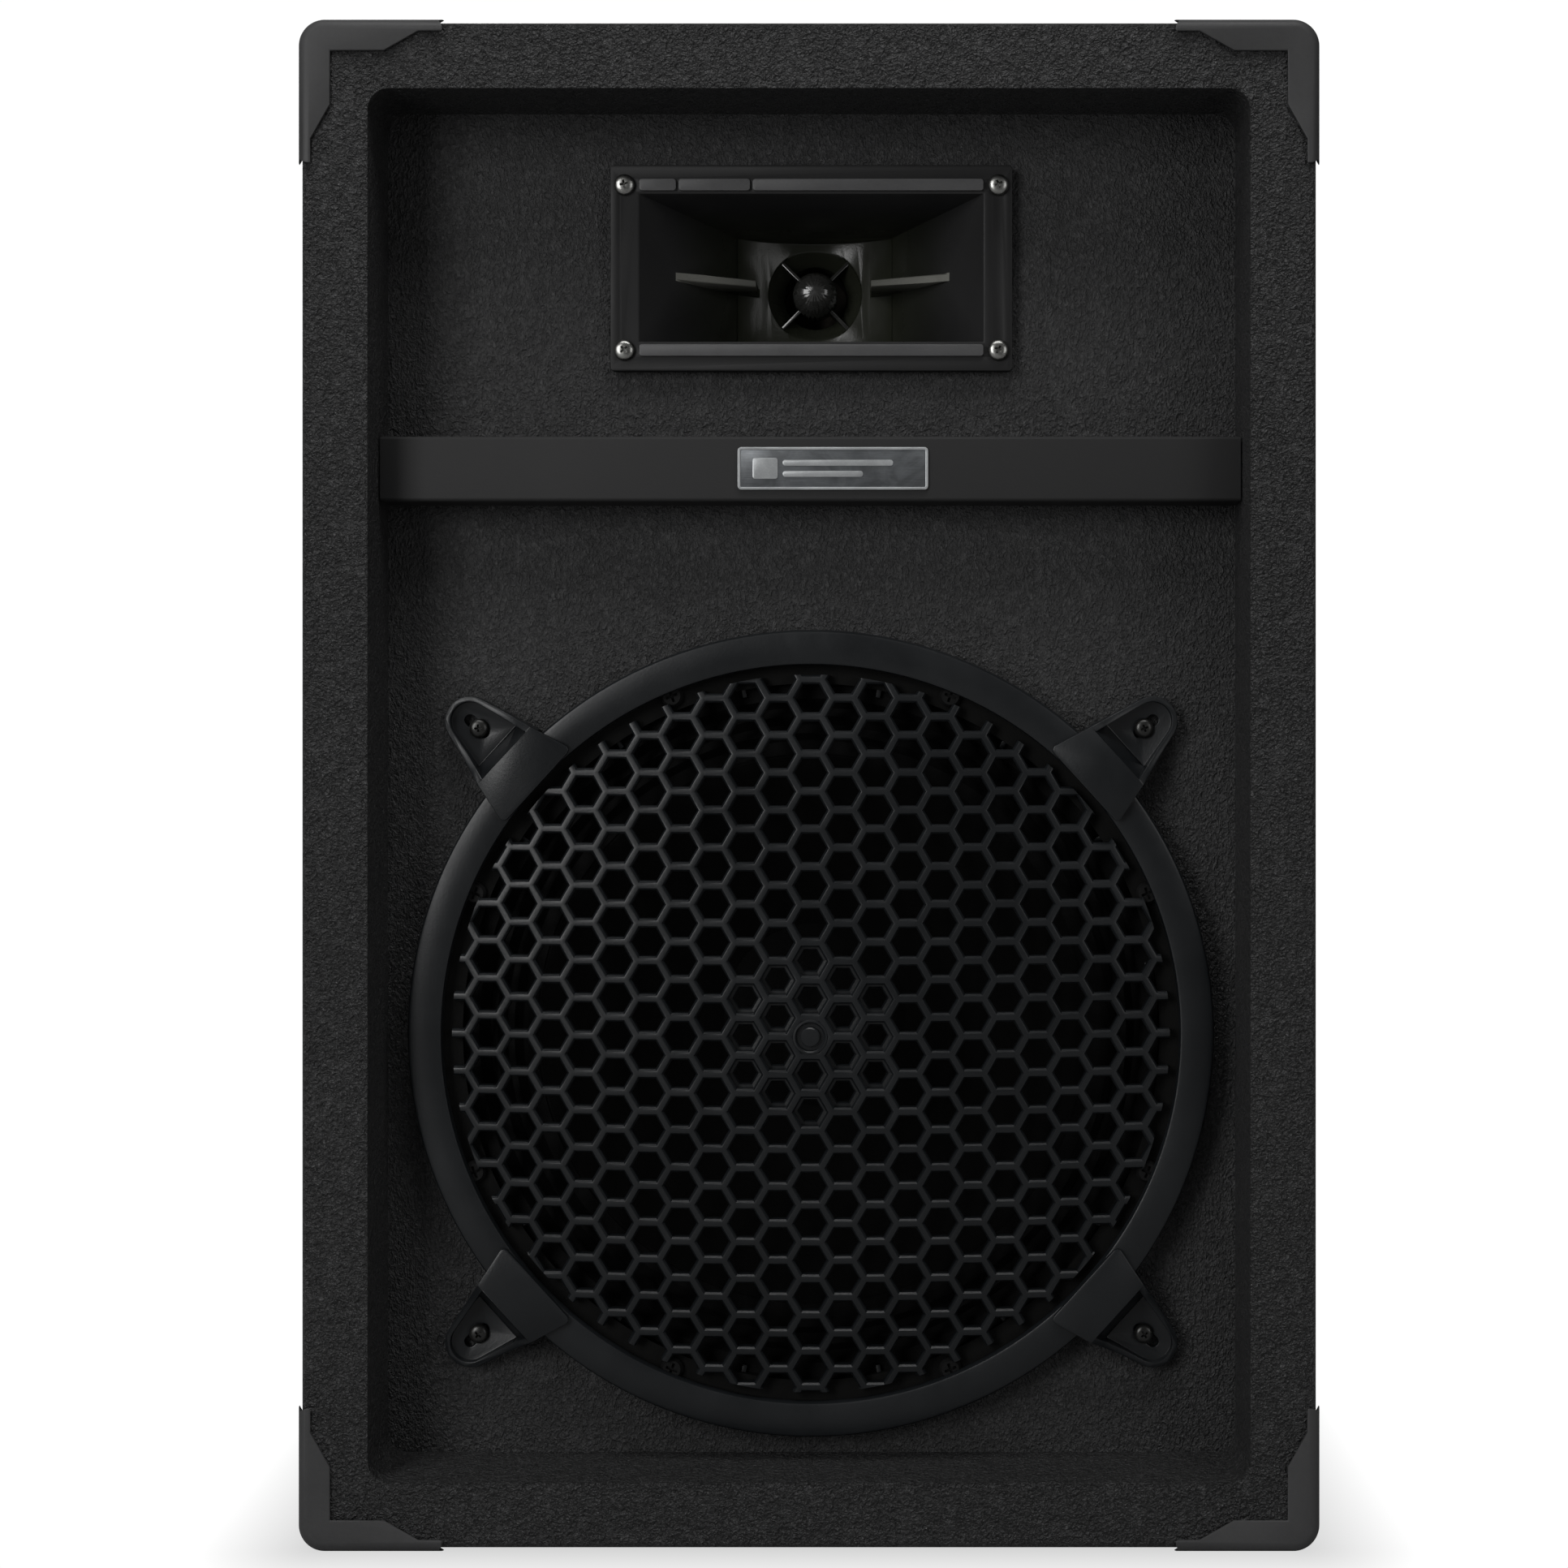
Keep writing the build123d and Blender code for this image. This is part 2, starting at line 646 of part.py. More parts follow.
save("horn_phase_plug", horn * plug)

# ---- horn driver: piezo disc and paper diaphragm in a screwed-on cap ----
cap_top = -horn_neck_depth - 3
driver_cap = turned(
    [
        (cap_radius, cap_top),
        (cap_radius, cap_top - cap_depth),
        (0, cap_top - cap_depth),
        (0, cap_top - cap_depth + 2.5),
        (cap_radius - 2.5, cap_top - cap_depth + 2.5),
        (cap_radius - 2.5, cap_top - 1.0),
        (cap_radius - 6, cap_top - 1.0),
        (cap_radius - 6, cap_top),
    ]
)
diaphragm = turned(
    [
        (0, cap_top - 12.0),
        (8, cap_top - 12.0),
        (20, cap_top - 1.5),
        (cap_radius - 2.5, cap_top - 1.5),
        (cap_radius - 2.5, cap_top - 1.0),
        (19.5, cap_top - 1.0),
        (7.5, cap_top - 11.5),
        (0, cap_top - 11.5),
    ]
)
piezo_disc = slab(Circle(7), cap_top - 12.6, cap_top - 12.0)
save("horn_driver_cap", horn * driver_cap)
save("piezo_diaphragm", horn * diaphragm)
save("piezo_disc", horn * piezo_disc)

# ---- woofer: pressed frame, cone group, suspension and magnet ----
frame_outer = turned(
    [
        (frame_wall_radius - 2, frame_sheet),
        (flange_radius, frame_sheet),
        (flange_radius, 0),
        (frame_wall_radius, 0),
        (frame_wall_radius, -18),
        (ledge_radius, ledge_height),
        (ledge_radius, ledge_height - frame_sheet),
        (neck_radius, ledge_height - frame_sheet),
        (neck_radius, base_height),
        (gap_plate_radius, base_height),
        (gap_plate_radius, base_height + frame_sheet),
        (neck_radius - frame_sheet, base_height + frame_sheet),
        (neck_radius - frame_sheet, ledge_height),
        (ledge_radius - 1, ledge_height),
        (frame_wall_radius - 2, -17),
    ]
)
window = extrude(
    make_face(Polyline((86, -16), (128, -34), (128, 34), (86, 16), close=True)), amount=64
)
for p in on_circle(0, 8, 0):
    frame_outer = frame_outer - p * (Pos(0, 0, -80) * window)
woofer_gasket = turned(
    [
        (flange_radius - 13, surround_land_top),
        (flange_radius, surround_land_top),
        (flange_radius, woofer_gasket_top),
        (flange_radius - 13, woofer_gasket_top),
    ]
)
sheet = 0.8
pleats = [
    (cone_edge_radius - 5.5, -3.2),
    (cone_edge_radius, -3.2),
    (121, 0.8),
    (124.5, -4.0),
    (128, 1.2),
    (131.5, -3.0),
    (135, surround_land_top),
    (flange_radius, surround_land_top),
]
surround = turned(pleats + [(r, h - sheet) for r, h in reversed(pleats)])
cone = turned(
    [
        (coil_radius + 0.3, -63),
        (cone_edge_radius - 6, -5),
        (cone_edge_radius, -5),
        (cone_edge_radius, -4),
        (cone_edge_radius - 6.5, -4),
        (coil_radius + 0.3, -61.6),
    ]
)
cone_slope = (61.6 - 4) / (cone_edge_radius - 6.5 - coil_radius - 0.3)
cap_edge = 38.0
cap_inner = -61.6 + (cap_edge - coil_radius - 0.3) * cone_slope
cap_outer = cap_inner + cone_slope
cap_rise = 12.0
cap_curve = ((cap_edge + 1) ** 2 + cap_rise**2) / (2 * cap_rise)
cap_centre = Pos(0, 0, cap_outer + cap_rise - cap_curve)
cap_ball = cap_centre * (Sphere(cap_curve) - Sphere(cap_curve - sheet))
bowl_radius = 60
bowl_bottom = cap_outer - cone_slope * (cap_edge + 1)
cone_bowl = turned([(0, bowl_bottom), (bowl_radius, bowl_bottom + cone_slope * bowl_radius), (0, 0)])
dust_cap = cap_ball & cone_bowl & slab(Circle(bowl_radius), cap_outer - 5, 0)
coil = turned(
    [
        (coil_radius, -60),
        (coil_radius + 0.3, -60),
        (coil_radius + 0.3, base_height + 2),
        (coil_radius + 1.2, base_height + 2),
        (coil_radius + 1.2, base_height - 10),
        (coil_radius, base_height - 10),
    ]
)
rings = 9
ripple = [(coil_radius + 0.3, ledge_height + 0.6), (31, ledge_height + 0.6)]
ripple += [(33 + 3.2 * i, ledge_height + (3.2 if i % 2 == 0 else -0.4)) for i in range(rings)]
ripple += [(neck_radius - 4, ledge_height + 0.6), (ledge_radius - 3, ledge_height + 0.6)]
spider = turned(ripple + [(r, h - 0.6) for r, h in reversed(ripple)])
top_plate = turned(
    [
        (gap_plate_radius, base_height - top_plate_thickness),
        (62, base_height - top_plate_thickness),
        (62, base_height),
        (gap_plate_radius, base_height),
    ]
)
magnet_top = base_height - top_plate_thickness
yoke_top = magnet_top - magnet_thickness
magnet = turned([(42, yoke_top), (magnet_radius, yoke_top), (magnet_radius, magnet_top), (42, magnet_top)])
yoke = turned(
    [
        (6, yoke_top - yoke_plate_thickness),
        (62, yoke_top - yoke_plate_thickness),
        (62, yoke_top),
        (pole_piece_radius, yoke_top),
        (pole_piece_radius, base_height),
        (6, base_height),
    ]
)
terminal = Pos(0, 73, -80) * Box(26, 12, 10) - slab(Circle(neck_radius), -100, 0)
for x in (-7, 7):
    terminal += Pos(x, 81, -82) * Box(3, 6, 0.8)
for fastener in woofer_screws:
    local = woofer.location.inverse() * fastener
    frame_outer = frame_outer - local
    woofer_gasket = woofer_gasket - local
    surround = surround - local
lead_ends = []
for x in (-7, 7):
    path = FilletPolyline((x, 79, -77), (x, 97, -77), (x, 97, -45), (x, 68, -37.5), radius=4)
    start = Plane(origin=path @ 0, z_dir=path % 0)
    lead_ends.append(woofer * sweep(start * Circle(0.7), path=path))
save("woofer_frame", woofer * frame_outer)
save("woofer_gasket", woofer * woofer_gasket)
save("cone_surround", woofer * surround)
save("woofer_cone", woofer * cone)
save("dust_cap", woofer * dust_cap)
save("voice_coil", woofer * coil)
save("spider", woofer * spider)
save("top_plate", woofer * top_plate)
save("magnet", woofer * magnet)
save("yoke", woofer * yoke)
save("woofer_terminal", woofer * terminal)
save("tinsel_leads", Compound(children=lead_ends))

# ---- woofer grille: domed honeycomb in a bevelled ring, one moulding ----
dome_radius = (lattice_radius**2 + (dome_apex - dome_edge_top) ** 2) / (2 * (dome_apex - dome_edge_top))


def dome_height(radius):
    """Height of the dome's front face at a radius."""
    return dome_apex - dome_radius + math.sqrt(dome_radius**2 - radius**2)


def cell_centres(limit):
    """Centres of the honeycomb cells inside a circle, one cell at the middle."""
    found = []
    columns = int(limit / column_pitch) + 1
    rows = int(limit / cell_pitch) + 1
    for i in range(-columns, columns + 1):
        for j in range(-rows, rows + 1):
            x = i * column_pitch
            y = (j + (i % 2) / 2) * cell_pitch
            if math.hypot(x, y) < limit:
                found.append((x, y))
    return found


cell = RegularPolygon(cell_corner, 6)
lattice_plan = Circle(lattice_radius) - [Pos(x, y) * cell for x, y in cell_centres(lattice_radius + 6)]
dome_shell_face = make_face(
    Curve()
    + ThreePointArc((0, dome_apex), (72, dome_height(72)), (lattice_radius, dome_edge_top))
    + Line((lattice_radius, dome_edge_top), (lattice_radius, dome_edge_top - lattice_thickness))
    + ThreePointArc(
        (lattice_radius, dome_edge_top - lattice_thickness),
        (72, dome_height(72) - lattice_thickness),
        (0, dome_apex - lattice_thickness),
    )
    + Line((0, dome_apex - lattice_thickness), (0, dome_apex))
)
dome_shell = revolve(Plane.XZ * dome_shell_face, Axis.Z)
lattice = slab(lattice_plan, 0, dome_apex + 2) & dome_shell
lattice = lattice.solids().sort_by(SortBy.VOLUME)[-1]
hub_cell = RegularPolygon(cell_pitch / math.sqrt(3), 6) - RegularPolygon(hub_cell_across_flats / math.sqrt(3), 6)
hub_plan = [Pos(x, y) * hub_cell for x, y in cell_centres(hub_limit) if math.hypot(x, y) > 1]
hub = slab(Sketch() + hub_plan, dome_apex - 7.5, dome_apex - 4.8)
boss = turned(
    [
        (0, dome_apex - lattice_thickness),
        (6.9, dome_apex - lattice_thickness),
        (6.9, dome_apex),
        (5.8, dome_apex + 0.4),
        (5.8, dome_apex - 1.6),
        (3.7, dome_apex - 1.6),
        (3.7, dome_apex + 0.6),
        (0, dome_apex + 0.6),
    ]
)
ring = turned(
    [
        (grille_ring_inner, ring_top - 3.4),
        (grille_ring_inner, ring_top),
        (grille_radius - 4, ring_top),
        (grille_radius, ring_top - 4),
        (grille_radius, 0),
        (grille_radius - 3, 0),
        (grille_radius - 3, ring_top - 5),
        (grille_radius - 5, ring_top - 3.4),
    ]
)
rib = Pos((134 + grille_radius - 4) / 2, 0, 9.8) * Box(grille_radius - 4 - 134, 3, 3.0)
grille = lattice + hub + boss + ring
for p in on_circle(0, 16, 11.25):
    grille = grille + p * rib
save("woofer_grille", woofer * grille)

# ---- grille clamps: moulded tongues over the ring, screwed down at their tails ----
side_profile = Polyline(
    (clamp_tongue_start, ring_top),
    (clamp_tongue_start, ring_top + 2.8),
    (clamp_fold + 1, ring_top + 2.8),
    (clamp_fold + 12, 8.5),
    (clamp_tail_centre + clamp_tail_radius, 6),
    (clamp_tail_centre + clamp_tail_radius, 0),
    (grille_radius + 0.5, 0),
    (grille_radius + 0.5, ring_top),
    close=True,
)
clamp_solid = Rot(90, 0, 0) * extrude(make_face(side_profile), amount=30, both=True)
clamp_plan = make_face(
    Polyline(
        (clamp_tongue_start, -20),
        (clamp_fold, -15),
        (clamp_tail_centre + 2.5, -clamp_tail_radius + 0.3),
        (clamp_tail_centre + 2.5, clamp_tail_radius - 0.3),
        (clamp_fold, 15),
        (clamp_tongue_start, 20),
        close=True,
    )
) + Pos(clamp_tail_centre, 0) * Circle(clamp_tail_radius)
pocket = make_face(
    Polyline(
        (clamp_fold + 4, -10),
        (clamp_tail_centre + 1.5, -6.6),
        (clamp_tail_centre + 1.5, 6.6),
        (clamp_fold + 4, 10),
        close=True,
    )
) + Pos(clamp_tail_centre, 0) * Circle(6.8)
clamp = clamp_solid & slab(clamp_plan, -1, 30)
clamp = clamp - slab(pocket, clamp_floor, 30)
clamp = clamp - Pos(clamp_screw_radius, 0, 0) * slab(SlotOverall(12, 4.6), -1, 30)
save("grille_clamps", Compound(children=[woofer * (p * clamp) for p in clamp_places]))

# ---- crossover on the bottom panel, and the wires inside ----
crossover_y = 95.0
crossover_x = 70.0
board_top = inner_base + 7.6
pcb = block(crossover_x - 55, crossover_x + 55, crossover_y - 30, crossover_y + 30, board_top - 1.6, board_top)
for p in at_corners(96, 46):
    pcb += Pos(crossover_x, crossover_y, inner_base) * p * slab(Circle(4), 0, board_top - 1.6 - inner_base)
save("crossover_board", pcb)
choke = Pos(crossover_x - 28, crossover_y, board_top) * slab(Circle(20) - Circle(8), 0, 20)
save("crossover_coil", choke)
capacitor = Pos(crossover_x + 28, crossover_y, board_top + 9) * Rot(0, 90, 0) * Cylinder(9, 34)
save("crossover_capacitor", capacitor)


def wire(*points, bend=14):
    """A twin cable of round section along straight runs with large bends."""
    path = FilletPolyline(*points, radius=bend)
    return sweep(Plane(origin=path @ 0, z_dir=path % 0) * Circle(1.8), path=path)


jack_back_y = wood_rear - dish_depth - dish_wall - jack_body_depth - 6
woofer_tag_z = woofer_z + 84
woofer_tag_y = baffle_y + 82
driver_back_y = baffle_y - cap_top + cap_depth
input_wire = wire(
    (-jack_spacing / 2, jack_back_y, dish_z),
    (-jack_spacing / 2, jack_back_y - 25, dish_z),
    (-jack_spacing / 2, jack_back_y - 25, 60),
    (crossover_x, jack_back_y - 25, 60),
    (crossover_x, jack_back_y - 25, board_top),
)
woofer_wire = wire(
    (crossover_x, crossover_y + 22, board_top),
    (crossover_x, crossover_y + 22, 70),
    (130, crossover_y + 22, 70),
    (130, crossover_y + 22, 310),
    (130, 10, 310),
    (7, 10, 310),
    (7, woofer_tag_y, 310),
    (7, woofer_tag_y, woofer_tag_z),
)
horn_wire = wire(
    (crossover_x + 50, crossover_y + 22, board_top),
    (crossover_x + 50, crossover_y + 22, 480),
    (20, crossover_y + 22, 480),
    (20, crossover_y + 22, horn_z),
    (20, driver_back_y, horn_z),
)
save("internal_wires", Compound(children=[input_wire, woofer_wire, horn_wire]))
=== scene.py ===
import bpy
import json
import math
from mathutils import Matrix, Vector

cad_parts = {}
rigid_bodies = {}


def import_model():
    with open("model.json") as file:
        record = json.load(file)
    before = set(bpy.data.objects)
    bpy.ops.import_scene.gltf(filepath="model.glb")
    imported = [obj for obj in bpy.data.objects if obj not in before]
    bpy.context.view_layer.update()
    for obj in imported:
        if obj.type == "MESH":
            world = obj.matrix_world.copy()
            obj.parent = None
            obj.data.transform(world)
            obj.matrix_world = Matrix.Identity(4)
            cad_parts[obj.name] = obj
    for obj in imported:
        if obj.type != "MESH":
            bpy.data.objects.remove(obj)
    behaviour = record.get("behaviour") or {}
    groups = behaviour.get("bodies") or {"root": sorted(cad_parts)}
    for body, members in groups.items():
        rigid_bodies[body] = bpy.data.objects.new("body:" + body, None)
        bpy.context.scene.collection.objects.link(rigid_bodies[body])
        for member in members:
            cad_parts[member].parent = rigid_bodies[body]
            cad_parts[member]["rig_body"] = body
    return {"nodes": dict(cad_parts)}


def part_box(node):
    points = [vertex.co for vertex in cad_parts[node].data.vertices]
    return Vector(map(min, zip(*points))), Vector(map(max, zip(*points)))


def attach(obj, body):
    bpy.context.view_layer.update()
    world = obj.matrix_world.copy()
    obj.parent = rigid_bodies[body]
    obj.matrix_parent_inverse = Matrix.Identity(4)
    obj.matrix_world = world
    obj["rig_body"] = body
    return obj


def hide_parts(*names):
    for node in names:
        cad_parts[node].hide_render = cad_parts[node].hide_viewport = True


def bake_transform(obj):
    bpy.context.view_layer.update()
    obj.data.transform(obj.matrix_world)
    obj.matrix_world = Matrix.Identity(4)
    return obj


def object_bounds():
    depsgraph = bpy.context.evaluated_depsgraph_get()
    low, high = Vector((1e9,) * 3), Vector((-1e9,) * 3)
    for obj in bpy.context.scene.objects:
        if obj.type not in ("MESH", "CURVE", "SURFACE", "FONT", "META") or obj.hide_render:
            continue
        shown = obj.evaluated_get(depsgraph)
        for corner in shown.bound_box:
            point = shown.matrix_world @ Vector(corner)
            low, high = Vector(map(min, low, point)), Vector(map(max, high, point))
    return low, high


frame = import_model()
cad_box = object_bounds()

# The camera stands level in front of the cabinet, a little right of its middle and a little above it.
# The small shift brings the cabinet to where it sits in the frame.
eye = Vector((0.026, -1.095, 0.322))
frame_width = 0.6119
view_centre = Vector((-0.0097, 0.3006))
lens_data = bpy.data.cameras.new("studio_camera")
camera = bpy.data.objects.new("studio_camera", lens_data)
bpy.context.scene.collection.objects.link(camera)
camera.location = eye
camera.rotation_euler = (math.radians(90), 0, 0)
front_distance = cad_box[0][1] - eye.y
lens_data.sensor_width = 36.0
lens_data.lens = 36.0 * front_distance / frame_width
lens_data.shift_x = (view_centre.x - eye.x) / frame_width
lens_data.shift_y = (view_centre.y - eye.z) / frame_width
lens_data.clip_end = 20.0
bpy.context.scene.camera = camera


# ---------------------------------------------------------------- outer covering
# Heavy black vinyl bonded over the wooden carcass and turned in over the front edge to the baffle.
# It is embossed with a coarse crinkle: ragged ridges a millimetre or two apart, with smoother
# islands several millimetres across between them.
def new_group(name, inputs, outputs):
    """A shader node group with its sockets, and its input and output nodes."""
    group = bpy.data.node_groups.new(name, "ShaderNodeTree")
    for label, kind, value in inputs:
        socket = group.interface.new_socket(label, in_out="INPUT", socket_type=kind)
        socket.default_value = value
    for label, kind in outputs:
        group.interface.new_socket(label, in_out="OUTPUT", socket_type=kind)
    return group, group.nodes.new("NodeGroupInput"), group.nodes.new("NodeGroupOutput")


def add_node(tree, kind, put=None, **settings):
    """A node with its plain properties set by name, and its sockets' values by their labels."""
    node = tree.nodes.new(kind)
    for key, value in settings.items():
        setattr(node, key, value)
    for key, value in (put or {}).items():
        node.inputs[key].default_value = value
    return node


def math_node(tree, operation, first, second=None, third=None):
    """A math node fed by sockets or numbers; gives its output socket."""
    node = add_node(tree, "ShaderNodeMath", operation=operation)
    for index, value in enumerate((first, second, third)):
        if value is None:
            continue
        if hasattr(value, "is_linked"):
            tree.links.new(value, node.inputs[index])
        else:
            node.inputs[index].default_value = value
    return node.outputs[0]


def map_range(tree, value, low, high, to_low, to_high):
    """Remaps a socket's value between two ranges, clamped."""
    node = add_node(tree, "ShaderNodeMapRange")
    tree.links.new(value, node.inputs["Value"])
    for label, number in (("From Min", low), ("From Max", high), ("To Min", to_low), ("To Max", to_high)):
        node.inputs[label].default_value = number
    return node.outputs["Result"]


def noise(tree, vector, scale, detail=2.0, roughness=0.5, distortion=0.0, kind="FBM"):
    """A noise texture on a vector; gives its value."""
    node = add_node(
        tree,
        "ShaderNodeTexNoise",
        put={"Scale": scale, "Detail": detail, "Roughness": roughness, "Distortion": distortion},
        noise_type=kind,
        normalize=True,
    )
    tree.links.new(vector, node.inputs["Vector"])
    return node.outputs["Fac"]


def stretched(tree, vector, scale):
    """A vector scaled along each axis."""
    node = add_node(tree, "ShaderNodeMapping", put={"Scale": scale})
    tree.links.new(vector, node.inputs["Vector"])
    return node.outputs["Vector"]


def crinkle_group():
    """Height of the embossed vinyl, from 0 in the creases to 1 on the ridges and islands."""
    group, given, result = new_group(
        "vinyl_crinkle",
        [("Vector", "NodeSocketVector", (0, 0, 0)), ("Islands", "NodeSocketFloat", 1.0)],
        [("Height", "NodeSocketFloat"), ("Crest", "NodeSocketFloat")],
    )
    base = given.outputs["Vector"]
    warp = add_node(group, "ShaderNodeTexNoise", put={"Scale": 330.0, "Detail": 2.0})
    group.links.new(base, warp.inputs["Vector"])
    push = add_node(group, "ShaderNodeVectorMath", operation="MULTIPLY_ADD")
    push.inputs[1].default_value = (0.0026, 0.0026, 0.0026)
    group.links.new(warp.outputs["Color"], push.inputs[0])
    group.links.new(base, push.inputs[2])
    bent = push.outputs["Vector"]
    fold = noise(group, bent, 330.0, 2.5, 0.55)
    folded = math_node(group, "ABSOLUTE", math_node(group, "MULTIPLY_ADD", fold, 7.0, -3.5))
    ridge = math_node(group, "SUBTRACT", 1.0, folded)
    ridge = map_range(group, ridge, 0.0, 1.0, 0.0, 1.0)
    nub = map_range(group, noise(group, bent, 800.0, 2.0, 0.55, 0.3), 0.36, 0.64, 0.0, 1.0)
    patch = map_range(group, noise(group, bent, 165.0, 1.5, 0.5), 0.55, 0.585, 0.0, 1.0)
    patch = math_node(group, "MULTIPLY", patch, given.outputs["Islands"])
    rough_part = math_node(
        group, "ADD", math_node(group, "MULTIPLY", ridge, 0.5), math_node(group, "MULTIPLY", nub, 0.5)
    )
    island_part = math_node(group, "MULTIPLY_ADD", nub, 0.22, 0.44)
    body = add_node(group, "ShaderNodeMix", data_type="FLOAT")
    group.links.new(patch, body.inputs[0])
    group.links.new(rough_part, body.inputs[2])
    group.links.new(island_part, body.inputs[3])
    group.links.new(body.outputs[0], result.inputs["Height"])
    # The Crest output drives the painted shade in the vinyl's creases and the painted highlight on its
    # ridges.
    group.links.new(map_range(group, rough_part, 0.30, 0.90, 0.0, 1.0), result.inputs["Crest"])
    return group


def grain_group():
    """Fine moulded grain and slow cloudy tone, for plastics, paint and metal."""
    group, given, result = new_group(
        "moulded_grain",
        [
            ("Vector", "NodeSocketVector", (0, 0, 0)),
            ("Grain", "NodeSocketFloat", 900.0),
            ("Cloud", "NodeSocketFloat", 14.0),
            ("Depth of tone", "NodeSocketFloat", 0.12),
        ],
        [("Tone", "NodeSocketFloat"), ("Height", "NodeSocketFloat"), ("Smudge", "NodeSocketFloat")],
    )
    fine = add_node(group, "ShaderNodeTexNoise", put={"Detail": 3.0, "Roughness": 0.6})
    cloud = add_node(group, "ShaderNodeTexNoise", put={"Detail": 5.0, "Roughness": 0.62, "Distortion": 0.3})
    for texture, size in ((fine, "Grain"), (cloud, "Cloud")):
        group.links.new(given.outputs["Vector"], texture.inputs["Vector"])
        group.links.new(given.outputs[size], texture.inputs["Scale"])
    swing = map_range(group, cloud.outputs["Fac"], 0.3, 0.7, -1.0, 1.0)
    speck = map_range(group, fine.outputs["Fac"], 0.3, 0.7, -0.4, 0.4)
    both = math_node(group, "ADD", swing, speck)
    tone = math_node(group, "MULTIPLY_ADD", both, given.outputs["Depth of tone"], 1.0)
    group.links.new(tone, result.inputs["Tone"])
    group.links.new(fine.outputs["Fac"], result.inputs["Height"])
    group.links.new(map_range(group, cloud.outputs["Fac"], 0.4, 0.75, 0.0, 1.0), result.inputs["Smudge"])
    return group


crinkle = crinkle_group()
grain = grain_group()


def new_material(name):
    """An empty material with its tree, its Principled shader and object coordinates."""
    material = bpy.data.materials.new(name)
    material.use_nodes = True
    tree = material.node_tree
    where = tree.nodes.new("ShaderNodeTexCoord").outputs["Object"]
    return material, tree, tree.nodes["Principled BSDF"], where


def mix_colour(tree, factor, low, high):
    """A colour that runs from low to high with a factor socket."""
    node = add_node(tree, "ShaderNodeMix", data_type="RGBA")
    tree.links.new(factor, node.inputs["Factor"])
    node.inputs[6].default_value = (*low, 1.0)
    node.inputs[7].default_value = (*high, 1.0)
    return node.outputs[2]


def shaded(tree, colour, tone):
    """A colour, plain or from a socket, darkened and lightened by a tone near 1."""
    node = add_node(tree, "ShaderNodeMix", data_type="RGBA", blend_type="MULTIPLY", put={"Factor": 1.0})
    if hasattr(colour, "is_linked"):
        tree.links.new(colour, node.inputs[6])
    else:
        node.inputs[6].default_value = (*colour, 1.0)
    tree.links.new(tone, node.inputs[7])
    return node.outputs[2]


def bump(tree, height, distance, normal=None):
    """A bump from a height socket, its depth in metres."""
    node = add_node(tree, "ShaderNodeBump", put={"Distance": distance})
    tree.links.new(height, node.inputs["Height"])
    if normal is not None:
        tree.links.new(normal, node.inputs["Normal"])
    return node.outputs["Normal"]


def vinyl_material(name, stretch, islands, depth, crease, crest, roughness):
    """Embossed vinyl: painted shade darkens its creases and a painted highlight lightens its ridges, which
    are also a little shinier.
    """
    material, tree, shader, where = new_material(name)
    relief = add_node(tree, "ShaderNodeGroup", node_tree=crinkle, put={"Islands": islands})
    tree.links.new(stretched(tree, where, stretch), relief.inputs["Vector"])
    soil = add_node(
        tree, "ShaderNodeGroup", node_tree=grain, put={"Grain": 1600.0, "Cloud": 11.0, "Depth of tone": 0.10}
    )
    tree.links.new(where, soil.inputs["Vector"])
    # Painted shade and highlight: the colour runs from the crease colour in the creases to the paler crest
    # colour on the ridges.
    tint = mix_colour(tree, relief.outputs["Crest"], crease, crest)
    tree.links.new(shaded(tree, tint, soil.outputs["Tone"]), shader.inputs["Base Color"])
    gloss = map_range(tree, relief.outputs["Height"], 0.2, 0.9, roughness + 0.04, roughness - 0.04)
    tree.links.new(gloss, shader.inputs["Roughness"])
    pores = bump(tree, soil.outputs["Height"], 0.00008)
    tree.links.new(bump(tree, relief.outputs["Height"], depth, pores), shader.inputs["Normal"])
    shader.inputs["Specular IOR Level"].default_value = 0.3
    return material


def moulded_material(
    name, colour, roughness, grain_size=900.0, depth=0.00006, tone=0.12, cloud=14.0, **sockets
):
    """Plastic, paint or metal with fine grain, slow cloudy tone and smudged gloss."""
    material, tree, shader, where = new_material(name)
    surface = add_node(
        tree,
        "ShaderNodeGroup",
        node_tree=grain,
        put={"Grain": grain_size, "Cloud": cloud, "Depth of tone": tone},
    )
    tree.links.new(where, surface.inputs["Vector"])
    tree.links.new(shaded(tree, colour, surface.outputs["Tone"]), shader.inputs["Base Color"])
    gloss = map_range(tree, surface.outputs["Smudge"], 0.0, 1.0, roughness - 0.04, roughness + 0.08)
    tree.links.new(gloss, shader.inputs["Roughness"])
    tree.links.new(bump(tree, surface.outputs["Height"], depth), shader.inputs["Normal"])
    shader.inputs["Specular IOR Level"].default_value = 0.3
    for label, value in sockets.items():
        shader.inputs[label.replace("_", " ")].default_value = value
    return material


def paint_cad(material, *nodes):
    """CAD nodes keep their shape and take a finished material."""
    for node in nodes:
        mesh_object = frame["nodes"][node]
        if not mesh_object.material_slots:
            mesh_object.data.materials.append(material)
        for place in mesh_object.material_slots:
            place.material = material


# Painted shade and highlight: the darker colour fills the creases and the paler one the ridges.
covering_vinyl = vinyl_material(
    "crinkled_vinyl", (1, 1, 1), 0.6, 0.0026, (0.012, 0.012, 0.0123), (0.026, 0.026, 0.0266), 0.5
)
paint_cad(covering_vinyl, "outer_covering")

# ---------------------------------------------------------------- baffle covering
# The same kind of vinyl in a finer, flatter leather grain, stretched over the baffle board
# before the drivers are screwed on.
# Painted shade and highlight: the darker colour fills the creases and the paler one the ridges.
baffle_vinyl = vinyl_material(
    "baffle_vinyl", (1.25, 1.25, 0.85), 0.35, 0.0010, (0.015, 0.015, 0.0154), (0.026, 0.026, 0.0265), 0.62
)
paint_cad(baffle_vinyl, "baffle_covering")


